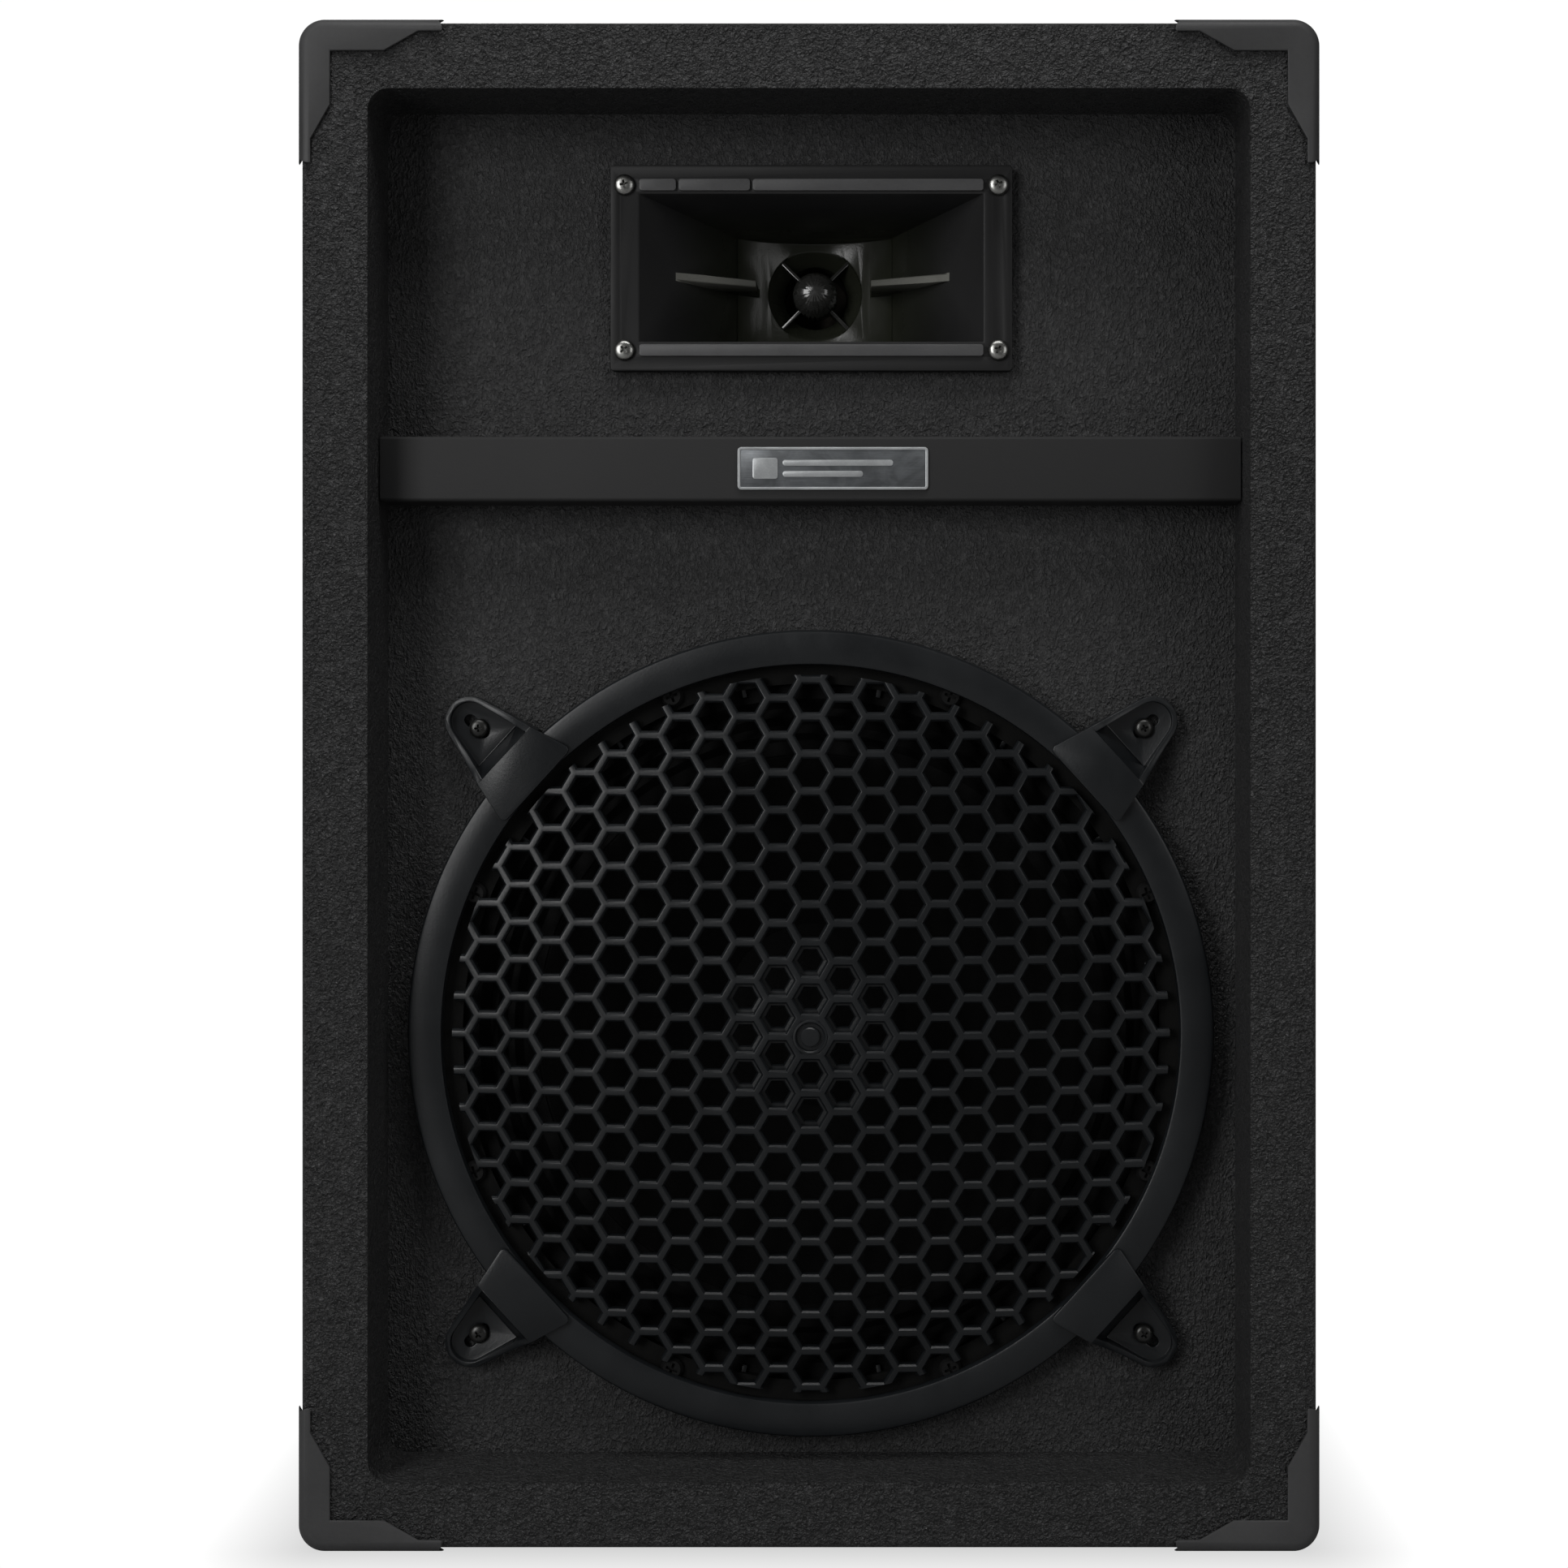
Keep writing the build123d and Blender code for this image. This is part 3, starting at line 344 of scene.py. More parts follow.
# ---------------------------------------------------------------- carcass
# Chipboard panels glued at butt joints, the baffle and back boards, and the softwood strips that
# hold them. Only the cut edges inside the sockets and openings ever show.
def chipboard_material():
    """Pressed wood chips: pale and dark flakes a few millimetres long."""
    material, tree, shader, where = new_material("chipboard")
    chips = add_node(tree, "ShaderNodeTexVoronoi", put={"Scale": 320.0})
    tree.links.new(stretched(tree, where, (1, 0.5, 0.7)), chips.inputs["Vector"])
    tint = mix_colour(tree, chips.outputs["Distance"], (0.42, 0.30, 0.18), (0.24, 0.16, 0.09))
    cloudy = map_range(tree, noise(tree, where, 60.0), 0.3, 0.7, 0.85, 1.1)
    tree.links.new(shaded(tree, tint, cloudy), shader.inputs[0])
    tree.links.new(bump(tree, chips.outputs["Distance"], 0.0002), shader.inputs["Normal"])
    shader.inputs["Roughness"].default_value = 0.85
    return material


paint_cad(
    chipboard_material(),
    "side_panel_left",
    "side_panel_right",
    "top_panel",
    "bottom_panel",
    "baffle_board",
    "baffle_cleats",
    "back_cleats",
)

# ---------------------------------------------------------------- wadding
# White polyester wadding stapled behind the back panel and under the lid.
wadding_material, tree, shader, where = new_material("polyester_wadding")
strands = noise(tree, stretched(tree, where, (1, 1, 3)), 260.0, 5.0, 0.7, 1.5)
strand_tint = mix_colour(tree, strands, (0.62, 0.62, 0.60), (0.84, 0.84, 0.82))
tree.links.new(strand_tint, shader.inputs["Base Color"])
tree.links.new(bump(tree, strands, 0.002), shader.inputs["Normal"])
shader.inputs["Roughness"].default_value = 0.95
paint_cad(wadding_material, "acoustic_wadding")


# ---------------------------------------------------------------- corner protectors
# Eight moulded corners in satin dark grey, each clipped over three faces and held by two
# countersunk screws. The mould leaves slightly rounded edges and a cloudy skin.
def start_piece(name, mesh):
    """A new object for a mesh, alone in the selection and active."""
    piece = bpy.data.objects.new(name, mesh)
    bpy.context.scene.collection.objects.link(piece)
    bpy.ops.object.select_all(action="DESELECT")
    piece.select_set(True)
    bpy.context.view_layer.objects.active = piece
    return piece


def make_active(piece):
    """The piece alone is selected and active."""
    bpy.ops.object.select_all(action="DESELECT")
    piece.select_set(True)
    bpy.context.view_layer.objects.active = piece


def round_edges(piece, width, segments=2, sharper_than=35):
    """Edges sharper than an angle are rounded, and the piece is shaded smooth between creases."""
    make_active(piece)
    if width:
        edge = piece.modifiers.new("edges", "BEVEL")
        edge.width = width
        edge.segments = segments
        edge.limit_method = "ANGLE"
        edge.angle_limit = math.radians(sharper_than)
        edge.use_clamp_overlap = False
        bpy.ops.object.modifier_apply(modifier="edges")
    bpy.ops.object.shade_smooth_by_angle(angle=math.radians(30))


def finish_piece(piece, body, slot, material, *nodes):
    """Material, body and the CAD nodes that the piece stands for. The slot is not used."""
    piece.data.materials.clear()
    piece.data.materials.append(material)
    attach(piece, body)
    if nodes:
        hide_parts(*nodes)
    return piece


def softened(node, name, width, slot, material, segments=2):
    """A clean copy of a CAD node with small rounded edges, which stands for the node."""
    piece = start_piece(name, frame["nodes"][node].data.copy())
    bpy.ops.object.mode_set(mode="EDIT")
    bpy.ops.mesh.select_all(action="SELECT")
    bpy.ops.mesh.remove_doubles(threshold=0.00001)
    bpy.ops.mesh.dissolve_limited(angle_limit=math.radians(0.5))
    bpy.ops.object.mode_set(mode="OBJECT")
    round_edges(piece, width, segments)
    return finish_piece(piece, frame["nodes"][node]["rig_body"], slot, material, node)


corner_grey = moulded_material(
    "corner_grey", (0.033, 0.033, 0.0335), 0.55, 700.0, 0.00008, 0.12, 22.0, Specular_IOR_Level=0.2
)
for node in sorted(frame["nodes"]):
    if node.startswith("corner_protector"):
        softened(node, node.replace("corner_protector", "moulded_corner"), 0.0005, "corner_grey", corner_grey)

screw_black = moulded_material("black_screw", (0.02, 0.02, 0.021), 0.3, 1500.0, 0.00002, 0.2, 60.0)
screw_black.node_tree.nodes["Principled BSDF"].inputs["Metallic"].default_value = 0.5
paint_cad(screw_black, "corner_screws", "trim_bar_screws")

# ---------------------------------------------------------------- trim bar
# A smooth dark moulding across the recess, screwed from behind the baffle, with a small
# brushed plate stuck on it. The plate has a bright rolled border and a plain pressed stripe.
bar_satin = moulded_material(
    "bar_satin", (0.0165, 0.0165, 0.0167), 0.66, 1100.0, 0.00005, 0.06, 7.0, Specular_IOR_Level=0.15
)
softened("trim_bar", "trim_bar_moulding", 0.0006, "bar_grey", bar_satin)

badge_low, badge_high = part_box("badge_plate")
badge_face = badge_low.y
brushed, tree, shader, where = new_material("brushed_plate")
lines = noise(tree, stretched(tree, where, (0.12, 1, 3.0)), 900.0, 4.0, 0.7)
stain = noise(tree, where, 70.0, 4.0, 0.6, 0.8)
plate_tone = math_node(
    tree,
    "MULTIPLY",
    map_range(tree, lines, 0.3, 0.7, 0.75, 1.15),
    map_range(tree, stain, 0.35, 0.65, 0.55, 1.1),
)
tree.links.new(shaded(tree, (0.12, 0.127, 0.134), plate_tone), shader.inputs["Base Color"])
tree.links.new(map_range(tree, stain, 0.3, 0.7, 0.42, 0.30), shader.inputs["Roughness"])
tree.links.new(bump(tree, lines, 0.00004), shader.inputs["Normal"])
shader.inputs["Metallic"].default_value = 0.55
bright_edge = moulded_material(
    "bright_edge", (0.30, 0.31, 0.315), 0.35, 1500.0, 0.00002, 0.15, 80.0, Metallic=0.4
)


def rounded_slab(name, low, high, corner, rounding, segments=2):
    """A plate between two corners of a box, with rounded upright corners in the front view."""
    middle = (low + high) / 2
    size = high - low
    bpy.ops.object.select_all(action="DESELECT")
    bpy.ops.mesh.primitive_cube_add(size=1, location=middle, scale=size)
    piece = bpy.context.object
    piece.name = name
    bpy.ops.object.transform_apply(location=True, rotation=True, scale=True)
    if corner:
        bpy.ops.object.mode_set(mode="EDIT")
        bpy.ops.mesh.select_mode(type="EDGE")
        bpy.ops.object.mode_set(mode="OBJECT")
        for face in piece.data.polygons:
            face.select = False
        for edge in piece.data.edges:
            first, second = (piece.data.vertices[i].co for i in edge.vertices)
            edge.select = abs(first.x - second.x) < 1e-6 and abs(first.z - second.z) < 1e-6
        bpy.ops.object.mode_set(mode="EDIT")
        bpy.ops.mesh.bevel(offset=corner, segments=5, affect="EDGES")
        bpy.ops.object.mode_set(mode="OBJECT")
    round_edges(piece, rounding, segments)
    return piece


face_inset = 0.0006
face_drop = 0.0004
plate = rounded_slab(
    "badge_face",
    badge_low + Vector((face_inset, face_drop, face_inset)),
    badge_high - Vector((face_inset, 0, face_inset)),
    0.0009,
    0.0001,
)
finish_piece(plate, "cabinet", "badge_metal", brushed, "badge_plate")
border_width = 0.0011
border = rounded_slab("badge_border", badge_low, badge_high, 0.0015, 0)
make_active(border)
bpy.ops.object.mode_set(mode="EDIT")
bpy.ops.mesh.select_mode(type="FACE")
bpy.ops.object.mode_set(mode="OBJECT")
for face in border.data.polygons:
    face.select = abs(face.normal.y) > 0.9
bpy.ops.object.mode_set(mode="EDIT")
bpy.ops.mesh.inset(thickness=border_width)
bpy.ops.mesh.bridge_edge_loops()
bpy.ops.object.mode_set(mode="OBJECT")
round_edges(border, 0.00025)
finish_piece(border, "cabinet", "badge_metal", bright_edge)
stripe_z = (badge_low.z + badge_high.z) / 2
stripe_depth = 0.0009
stripes = ((0.006, 0.016, 0.0, 0.0042), (0.018, 0.062, 0.0022, 0.0012), (0.018, 0.050, -0.0022, 0.0012))
for index, (left, right, up, half) in enumerate(stripes):
    stripe = rounded_slab(
        f"badge_stripe_{index}",
        Vector((badge_low.x + left, badge_face, stripe_z + up - half)),
        Vector((badge_low.x + right, badge_face + stripe_depth, stripe_z + up + half)),
        0.0010,
        0.00015,
    )
    finish_piece(stripe, "cabinet", "badge_metal", bright_edge)

# ---------------------------------------------------------------- horn
# One semi-gloss moulding: flange with raised bars, flare, waist, curved rear wall, two vanes.
# It sits on a foam gasket and is held by four bright pan-head screws.
baffle_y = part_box("baffle_covering")[0].y
horn_low, horn_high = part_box("horn_body")
horn_centre = Vector(((horn_low.x + horn_high.x) / 2, baffle_y, (horn_low.z + horn_high.z) / 2))
horn_plastic, tree, shader, where = new_material("horn_plastic")
surface = add_node(
    tree, "ShaderNodeGroup", node_tree=grain, put={"Grain": 1300.0, "Cloud": 26.0, "Depth of tone": 0.14}
)
tree.links.new(where, surface.inputs["Vector"])
split = add_node(tree, "ShaderNodeSeparateXYZ")
tree.links.new(where, split.inputs[0])
# Painted sheen: the moulding is coloured near black at the front and a paler olive deeper in the horn,
# standing in for the sheen of its glossy throat. It is also made glossier there.
deep = map_range(tree, split.outputs["Y"], baffle_y + 0.012, baffle_y + 0.046, 0.0, 1.0)
tint = mix_colour(tree, deep, (0.0048, 0.0048, 0.0050), (0.013, 0.014, 0.010))
level = math_node(tree, "ABSOLUTE", math_node(tree, "SUBTRACT", split.outputs["Z"], horn_centre.z))
aside = math_node(tree, "ABSOLUTE", split.outputs["X"])
# Painted highlight: the vanes' front parts are coloured pale grey, fading back into the moulding's colour
# between 12 and 40 mm into the horn.
vane_half_thickness = 0.0017
vane_root = 0.024
vane_tip = 0.0565
on_vane = math_node(
    tree,
    "MULTIPLY",
    math_node(tree, "LESS_THAN", level, vane_half_thickness),
    math_node(tree, "LESS_THAN", aside, vane_tip),
)
on_vane = math_node(tree, "MULTIPLY", on_vane, math_node(tree, "GREATER_THAN", aside, vane_root))
vane_highlight_fade = map_range(tree, split.outputs["Y"], baffle_y + 0.012, baffle_y + 0.040, 1.0, 0.0)
painted_vane_highlight = add_node(tree, "ShaderNodeMix", data_type="RGBA")
tree.links.new(math_node(tree, "MULTIPLY", on_vane, vane_highlight_fade), painted_vane_highlight.inputs["Factor"])
tree.links.new(tint, painted_vane_highlight.inputs[6])
painted_vane_highlight.inputs[7].default_value = (0.14, 0.14, 0.125, 1.0)
tree.links.new(shaded(tree, painted_vane_highlight.outputs[2], surface.outputs["Tone"]), shader.inputs["Base Color"])
smudge = map_range(tree, surface.outputs["Smudge"], 0.0, 1.0, -0.03, 0.06)
tree.links.new(
    math_node(tree, "ADD", map_range(tree, deep, 0.0, 1.0, 0.55, 0.20), smudge), shader.inputs["Roughness"]
)
ripple = math_node(tree, "MULTIPLY", noise(tree, where, 45.0, 2.0), deep)
tree.links.new(
    bump(tree, ripple, 0.0004, bump(tree, surface.outputs["Height"], 0.00004)), shader.inputs["Normal"]
)
shader.inputs["Specular IOR Level"].default_value = 0.24
softened("horn_body", "horn_moulding", 0.0005, "horn_black", horn_plastic)

# The raised bars are coloured paler than the moulding round them.
pale_bar_material = moulded_material("pale_bar_grey", (0.050, 0.050, 0.051), 0.5, 1200.0, 0.00005, 0.14, 30.0)
bar_top = horn_low.y
bar_line = 0.0335
bar_half_height = 0.0024
bar_spread = 0.0002
bar_proud = 0.0001
bar_sunk = 0.0013
for index, (left, right, up) in enumerate(
    ((-0.0695, -0.055, 1), (-0.0535, -0.025, 1), (-0.0235, 0.0695, 1), (-0.0695, 0.0695, -1))
):
    raised = rounded_slab(
        f"horn_raised_bar_{index}",
        Vector((left - bar_spread, bar_top - bar_proud, horn_centre.z + up * bar_line - bar_half_height)),
        Vector((right + bar_spread, bar_top + bar_sunk, horn_centre.z + up * bar_line + bar_half_height)),
        0.0012,
        0.0003,
    )
    finish_piece(raised, "cabinet", "horn_black", pale_bar_material)

plug_gloss = moulded_material(
    "plug_gloss", (0.018, 0.018, 0.017), 0.14, 1500.0, 0.00002, 0.15, 60.0, Specular_IOR_Level=0.6
)
softened("horn_phase_plug", "horn_plug_and_spokes", 0.0003, "horn_black", plug_gloss)
foam = moulded_material("closed_cell_foam", (0.02, 0.02, 0.02), 0.9, 1400.0, 0.0003, 0.2)
paint_cad(foam, "horn_gasket")
paint_cad(moulded_material("driver_cap_black", (0.02, 0.02, 0.02), 0.5), "horn_driver_cap")
paper = moulded_material("pressed_paper", (0.05, 0.043, 0.036), 0.9, 1500.0, 0.0002, 0.2, 80.0)
paint_cad(paper, "piezo_diaphragm")
brass = moulded_material("plain_brass", (0.80, 0.62, 0.25), 0.3, 1500.0, 0.00002, 0.1, Metallic=1.0)
paint_cad(brass, "piezo_disc")


def turned(name, outline, centre, axis, steps=48):
    """A profile of (radius, height) points spun round an axis through a point."""
    bpy.ops.object.select_all(action="DESELECT")
    bpy.ops.mesh.primitive_circle_add(
        vertices=len(outline), radius=1, fill_type="NOTHING", location=(0, 0, 0)
    )
    piece = bpy.context.object
    piece.name = name
    side = Vector((1, 0, 0)) if abs(axis.x) < 0.5 else Vector((0, 1, 0))
    for vertex, (radius, height) in zip(piece.data.vertices, outline):
        vertex.co = centre + side * radius + axis * height
    bpy.ops.object.mode_set(mode="EDIT")
    bpy.ops.mesh.select_all(action="SELECT")
    bpy.ops.mesh.spin(steps=steps, angle=math.radians(360), center=centre, axis=axis)
    bpy.ops.mesh.select_all(action="SELECT")
    bpy.ops.mesh.remove_doubles(threshold=0.000004)
    bpy.ops.mesh.dissolve_degenerate(threshold=0.000004)
    bpy.ops.mesh.normals_make_consistent(inside=False)
    bpy.ops.object.mode_set(mode="OBJECT")
    bpy.ops.object.shade_smooth_by_angle(angle=math.radians(30))
    return piece


def cut_away(piece, tool, operation="DIFFERENCE"):
    """A second solid is cut from, added to or shared with the piece, and is then removed."""
    make_active(piece)
    step = piece.modifiers.new("cut", "BOOLEAN")
    step.operation = operation
    step.solver = "EXACT"
    step.object = tool
    bpy.ops.object.modifier_apply(modifier="cut")
    bpy.data.objects.remove(tool)


def pan_head(name, radius, height):
    """A domed pan head with a tapered cross recess, seated on the floor of its own axes, facing up."""
    outline = [(0, -0.0004), (radius, -0.0004), (radius, height * 0.28)]
    for angle in (20, 38, 56, 74):
        turn = math.radians(angle)
        outline.append((radius * (0.30 + 0.70 * math.cos(turn)), height * (0.28 + 0.72 * math.sin(turn))))
    outline.append((radius * 0.30, height))
    outline.append((0, height * 1.0))
    head = turned(name, outline, Vector((0, 0, 0)), Vector((0, 0, 1)), 32)
    for turn in (0, 90):
        bpy.ops.object.select_all(action="DESELECT")
        bpy.ops.mesh.primitive_cube_add(
            size=1, location=(0, 0, height), scale=(radius * 1.15, radius * 0.24, height * 1.5)
        )
        wing = bpy.context.object
        bpy.ops.object.transform_apply(location=True, rotation=True, scale=True)
        for vertex in wing.data.vertices:
            if vertex.co.z < height:
                vertex.co.x *= 0.35
                vertex.co.y *= 0.7
        wing.data.transform(Matrix.Rotation(math.radians(turn), 4, "Z"))
        cut_away(head, wing)
    make_active(head)
    bpy.ops.object.shade_smooth_by_angle(angle=math.radians(35))
    return head


def set_screws(name, head, places, slot, material, node):
    """Copies of a screw head, each turned and seated, joined as one group for its CAD node."""
    copies = []
    for index, (spot, facing, turn) in enumerate(places):
        copy = head.copy()
        copy.data = head.data.copy()
        copy.name = f"{name}_{index}"
        bpy.context.scene.collection.objects.link(copy)
        seat = Matrix.Translation(spot) @ facing.to_track_quat("Z", "Y").to_matrix().to_4x4()
        copy.data.transform(seat @ Matrix.Rotation(math.radians(turn), 4, "Z"))
        copies.append(copy)
    bpy.data.objects.remove(head)
    bpy.ops.object.select_all(action="DESELECT")
    for copy in copies:
        copy.select_set(True)
    bpy.context.view_layer.objects.active = copies[0]
    bpy.ops.object.join()
    copies[0].name = name
    return finish_piece(copies[0], "cabinet", slot, material, node)


toward_viewer = Vector((0, -1, 0))
flange_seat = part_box("horn_screws")[0].y + 0.0028
bright_zinc = moulded_material(
    "bright_zinc", (0.24, 0.24, 0.23), 0.30, 1500.0, 0.00003, 0.2, 120.0, Metallic=1.0
)
horn_screw_x = 0.07575
horn_screw_z = 0.0335
horn_screw_turns = {(-1, -1): 40, (-1, 1): 12, (1, -1): 62, (1, 1): 25}
set_screws(
    "horn_screw_heads",
    pan_head("horn_screw_head", 0.0043, 0.0027),
    [
        (Vector((sx * horn_screw_x, flange_seat, horn_centre.z + sz * horn_screw_z)), toward_viewer, turn)
        for (sx, sz), turn in horn_screw_turns.items()
    ],
    "silver_screw",
    bright_zinc,
    "horn_screws",
)

# ---------------------------------------------------------------- woofer
# A 12-inch driver behind the grille: painted steel frame, card gasket, doped cloth surround,
# black paper cone and cap, and the ferrite motor behind, with braided leads from the terminal board to the
# coil.
# Painted shade: the frame, gasket, surround, cone and cap are coloured near black, darker than these
# materials are, so that they read as the shade behind the grille.
frame_paint = moulded_material(
    "frame_paint", (0.005, 0.005, 0.005), 0.7, 900.0, 0.00006, 0.15, 30.0, Specular_IOR_Level=0.1
)
card = moulded_material(
    "pressed_card", (0.004, 0.004, 0.0038), 0.9, 1200.0, 0.00012, 0.2, 40.0, Specular_IOR_Level=0.1
)
cloth = moulded_material(
    "doped_cloth", (0.003, 0.003, 0.003), 0.85, 1600.0, 0.00025, 0.2, 40.0, Specular_IOR_Level=0.1
)
pulp, tree, shader, where = new_material("pulp_paper")
fibres = noise(tree, where, 420.0, 5.0, 0.7, 1.2)
pulp_tint = mix_colour(tree, fibres, (0.0015, 0.0015, 0.0015), (0.004, 0.004, 0.0038))
tree.links.new(pulp_tint, shader.inputs["Base Color"])
tree.links.new(bump(tree, fibres, 0.0004), shader.inputs["Normal"])
shader.inputs["Roughness"].default_value = 0.9
shader.inputs["Specular IOR Level"].default_value = 0.1
zinc_steel = moulded_material(
    "zinc_steel", (0.45, 0.45, 0.46), 0.35, 900.0, 0.00004, 0.12, 30.0, Metallic=1.0
)
copper = moulded_material(
    "enamelled_copper", (0.72, 0.38, 0.20), 0.3, 1500.0, 0.0001, 0.15, 60.0, Metallic=1.0
)
phenolic = moulded_material("phenolic_board", (0.35, 0.20, 0.08), 0.5, 900.0, 0.00006, 0.2, 60.0)
paint_cad(frame_paint, "woofer_frame")
paint_cad(card, "woofer_gasket")
paint_cad(cloth, "cone_surround")
paint_cad(pulp, "woofer_cone", "dust_cap")
paint_cad(moulded_material("dipped_cloth", (0.55, 0.38, 0.16), 0.8, 1500.0, 0.0003, 0.15, 50.0), "spider")
paint_cad(zinc_steel, "top_plate", "yoke")
paint_cad(moulded_material("sintered_ferrite", (0.05, 0.05, 0.052), 0.6, 800.0, 0.0001, 0.2, 40.0), "magnet")
paint_cad(copper, "voice_coil")
leads = start_piece("flexing_leads", frame["nodes"]["tinsel_leads"].data.copy())
bpy.ops.object.mode_set(mode="EDIT")
bpy.ops.mesh.select_all(action="SELECT")
bpy.ops.mesh.remove_doubles(threshold=0.00001)
bpy.ops.object.mode_set(mode="OBJECT")
bpy.ops.object.shade_smooth_by_angle(angle=math.radians(40))
leads.data.materials.clear()
leads.data.materials.append(copper)
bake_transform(leads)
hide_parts("tinsel_leads")
paint_cad(phenolic, "woofer_terminal")
# The woofer screws take the same near-black colour, as painted shade that hides them in the gap behind the
# ring.
paint_cad(frame_paint, "woofer_screws")

# ---------------------------------------------------------------- woofer grille
# One black moulding: a domed honeycomb with chamfered bars, smaller openings behind the middle
# cells, a round button in the centre, and a bevelled ring joined to the honeycomb by ribs.
woofer_low, woofer_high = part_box("woofer_grille")
grille_radius = (woofer_high.x - woofer_low.x) / 2
grille_centre = Vector((0, baffle_y, (woofer_low.z + woofer_high.z) / 2))
lattice_radius = 0.142
lattice_reach = 0.1445
cell_pitch = 0.015
column_step = cell_pitch * math.cos(math.radians(30))
dome_edge = 0.0125
dome_apex = 0.024
lattice_depth = 0.005
dome_rise = dome_apex - dome_edge
dome_radius = (lattice_radius**2 + dome_rise**2) / (2 * dome_rise)
grille_black = moulded_material(
    "grille_black", (0.0052, 0.0060, 0.0068), 0.36, 1000.0, 0.00005, 0.16, 26.0, Specular_IOR_Level=0.26
)


def dome_height(radius):
    """Height of the dome's front face above the baffle at a radius."""
    return dome_apex - dome_radius + math.sqrt(max(dome_radius**2 - radius**2, 0))


def hex_steps(name, steps):
    """A six-sided frame grown from (half width across flats, height) steps, flats up and down."""
    start, start_height = steps[0]
    bpy.ops.object.select_all(action="DESELECT")
    bpy.ops.mesh.primitive_circle_add(
        vertices=6,
        radius=start / math.cos(math.radians(30)),
        fill_type="NOTHING",
        location=(0, 0, start_height),
        rotation=(0, 0, math.radians(30)),
    )
    piece = bpy.context.object
    piece.name = name
    bpy.ops.object.transform_apply(location=True, rotation=True, scale=True)
    bpy.ops.object.mode_set(mode="EDIT")
    bpy.ops.mesh.select_all(action="SELECT")
    before, level = start, start_height
    for width, height in steps[1:]:
        bpy.ops.mesh.extrude_edges_move()
        ratio = width / before
        bpy.ops.transform.resize(value=(ratio, ratio, 1), center_override=(0, 0, level))
        bpy.ops.transform.translate(value=(0, 0, height - level))
        before, level = width, height
    bpy.ops.object.mode_set(mode="OBJECT")
    return piece


half_pitch = cell_pitch / 2
columns = 6
rows = 10
lattice = hex_steps(
    "grille_lattice",
    [
        (half_pitch, lattice_depth),
        (0.0067, lattice_depth),
        (0.0064, lattice_depth - 0.0001),
        (0.0057, lattice_depth - 0.0010),
        (0.0056, 0.0),
        (half_pitch, 0.0),
    ],
)
lattice.data.transform(Matrix.Translation((-columns * 2 * column_step, -rows * cell_pitch, 0)))
make_active(lattice)
for label, count, step in (
    ("rows", 2 * rows + 1, (0, cell_pitch, 0)),
    ("columns", 2 * columns + 1, (2 * column_step, 0, 0)),
):
    array = lattice.modifiers.new(label, "ARRAY")
    array.count = count
    array.use_relative_offset = False
    array.use_constant_offset = True
    array.constant_offset_displace = step
    bpy.ops.object.modifier_apply(modifier=label)
offset_rows = start_piece("offset_rows", lattice.data.copy())
offset_rows.data.transform(Matrix.Translation((column_step, half_pitch, 0)))
lattice.select_set(True)
bpy.context.view_layer.objects.active = lattice
bpy.ops.object.join()
bpy.ops.object.mode_set(mode="EDIT")
bpy.ops.mesh.select_mode(type="VERT")
bpy.ops.mesh.select_all(action="SELECT")
bpy.ops.mesh.remove_doubles(threshold=0.00003)
bpy.ops.mesh.select_all(action="DESELECT")
bpy.ops.object.mode_set(mode="OBJECT")
reach = lattice_radius + 0.020
for vertex in lattice.data.vertices:
    vertex.select = math.hypot(vertex.co.x, vertex.co.y) > reach
bpy.ops.object.mode_set(mode="EDIT")
bpy.ops.mesh.delete(type="VERT")
bpy.ops.mesh.select_all(action="SELECT")
bpy.ops.mesh.normals_make_consistent(inside=False)
bpy.ops.object.mode_set(mode="OBJECT")
bpy.ops.object.select_all(action="DESELECT")
bpy.ops.mesh.primitive_cylinder_add(vertices=160, radius=lattice_reach, depth=0.02, location=(0, 0, 0))
rim_tool = bpy.context.object
cut_away(lattice, rim_tool, "INTERSECT")
bpy.ops.object.mode_set(mode="EDIT")
bpy.ops.mesh.select_mode(type="VERT")
bpy.ops.mesh.select_all(action="DESELECT")
bpy.ops.object.mode_set(mode="OBJECT")
nearest = min(lattice.data.vertices, key=lambda vertex: vertex.co.length)
nearest.select = True
bpy.ops.object.mode_set(mode="EDIT")
bpy.ops.mesh.select_linked()
bpy.ops.mesh.select_all(action="INVERT")
bpy.ops.mesh.delete(type="VERT")
bpy.ops.object.mode_set(mode="OBJECT")


def onto_grille(piece, floor=0.0, domed=True):
    """Moves a piece drawn flat, height upwards, onto the front of the baffle at the grille's centre."""
    for vertex in piece.data.vertices:
        x, z, height = vertex.co
        if domed:
            height += dome_height(math.hypot(x, z)) - lattice_depth
        vertex.co = grille_centre + Vector((x, -(height + floor), z))
    make_active(piece)
    bpy.ops.object.mode_set(mode="EDIT")
    bpy.ops.mesh.select_all(action="SELECT")
    bpy.ops.mesh.normals_make_consistent(inside=False)
    bpy.ops.object.mode_set(mode="OBJECT")


onto_grille(lattice)
bpy.ops.object.shade_smooth_by_angle(angle=math.radians(20))
finish_piece(lattice, "cabinet", "grille_black", grille_black, "woofer_grille")

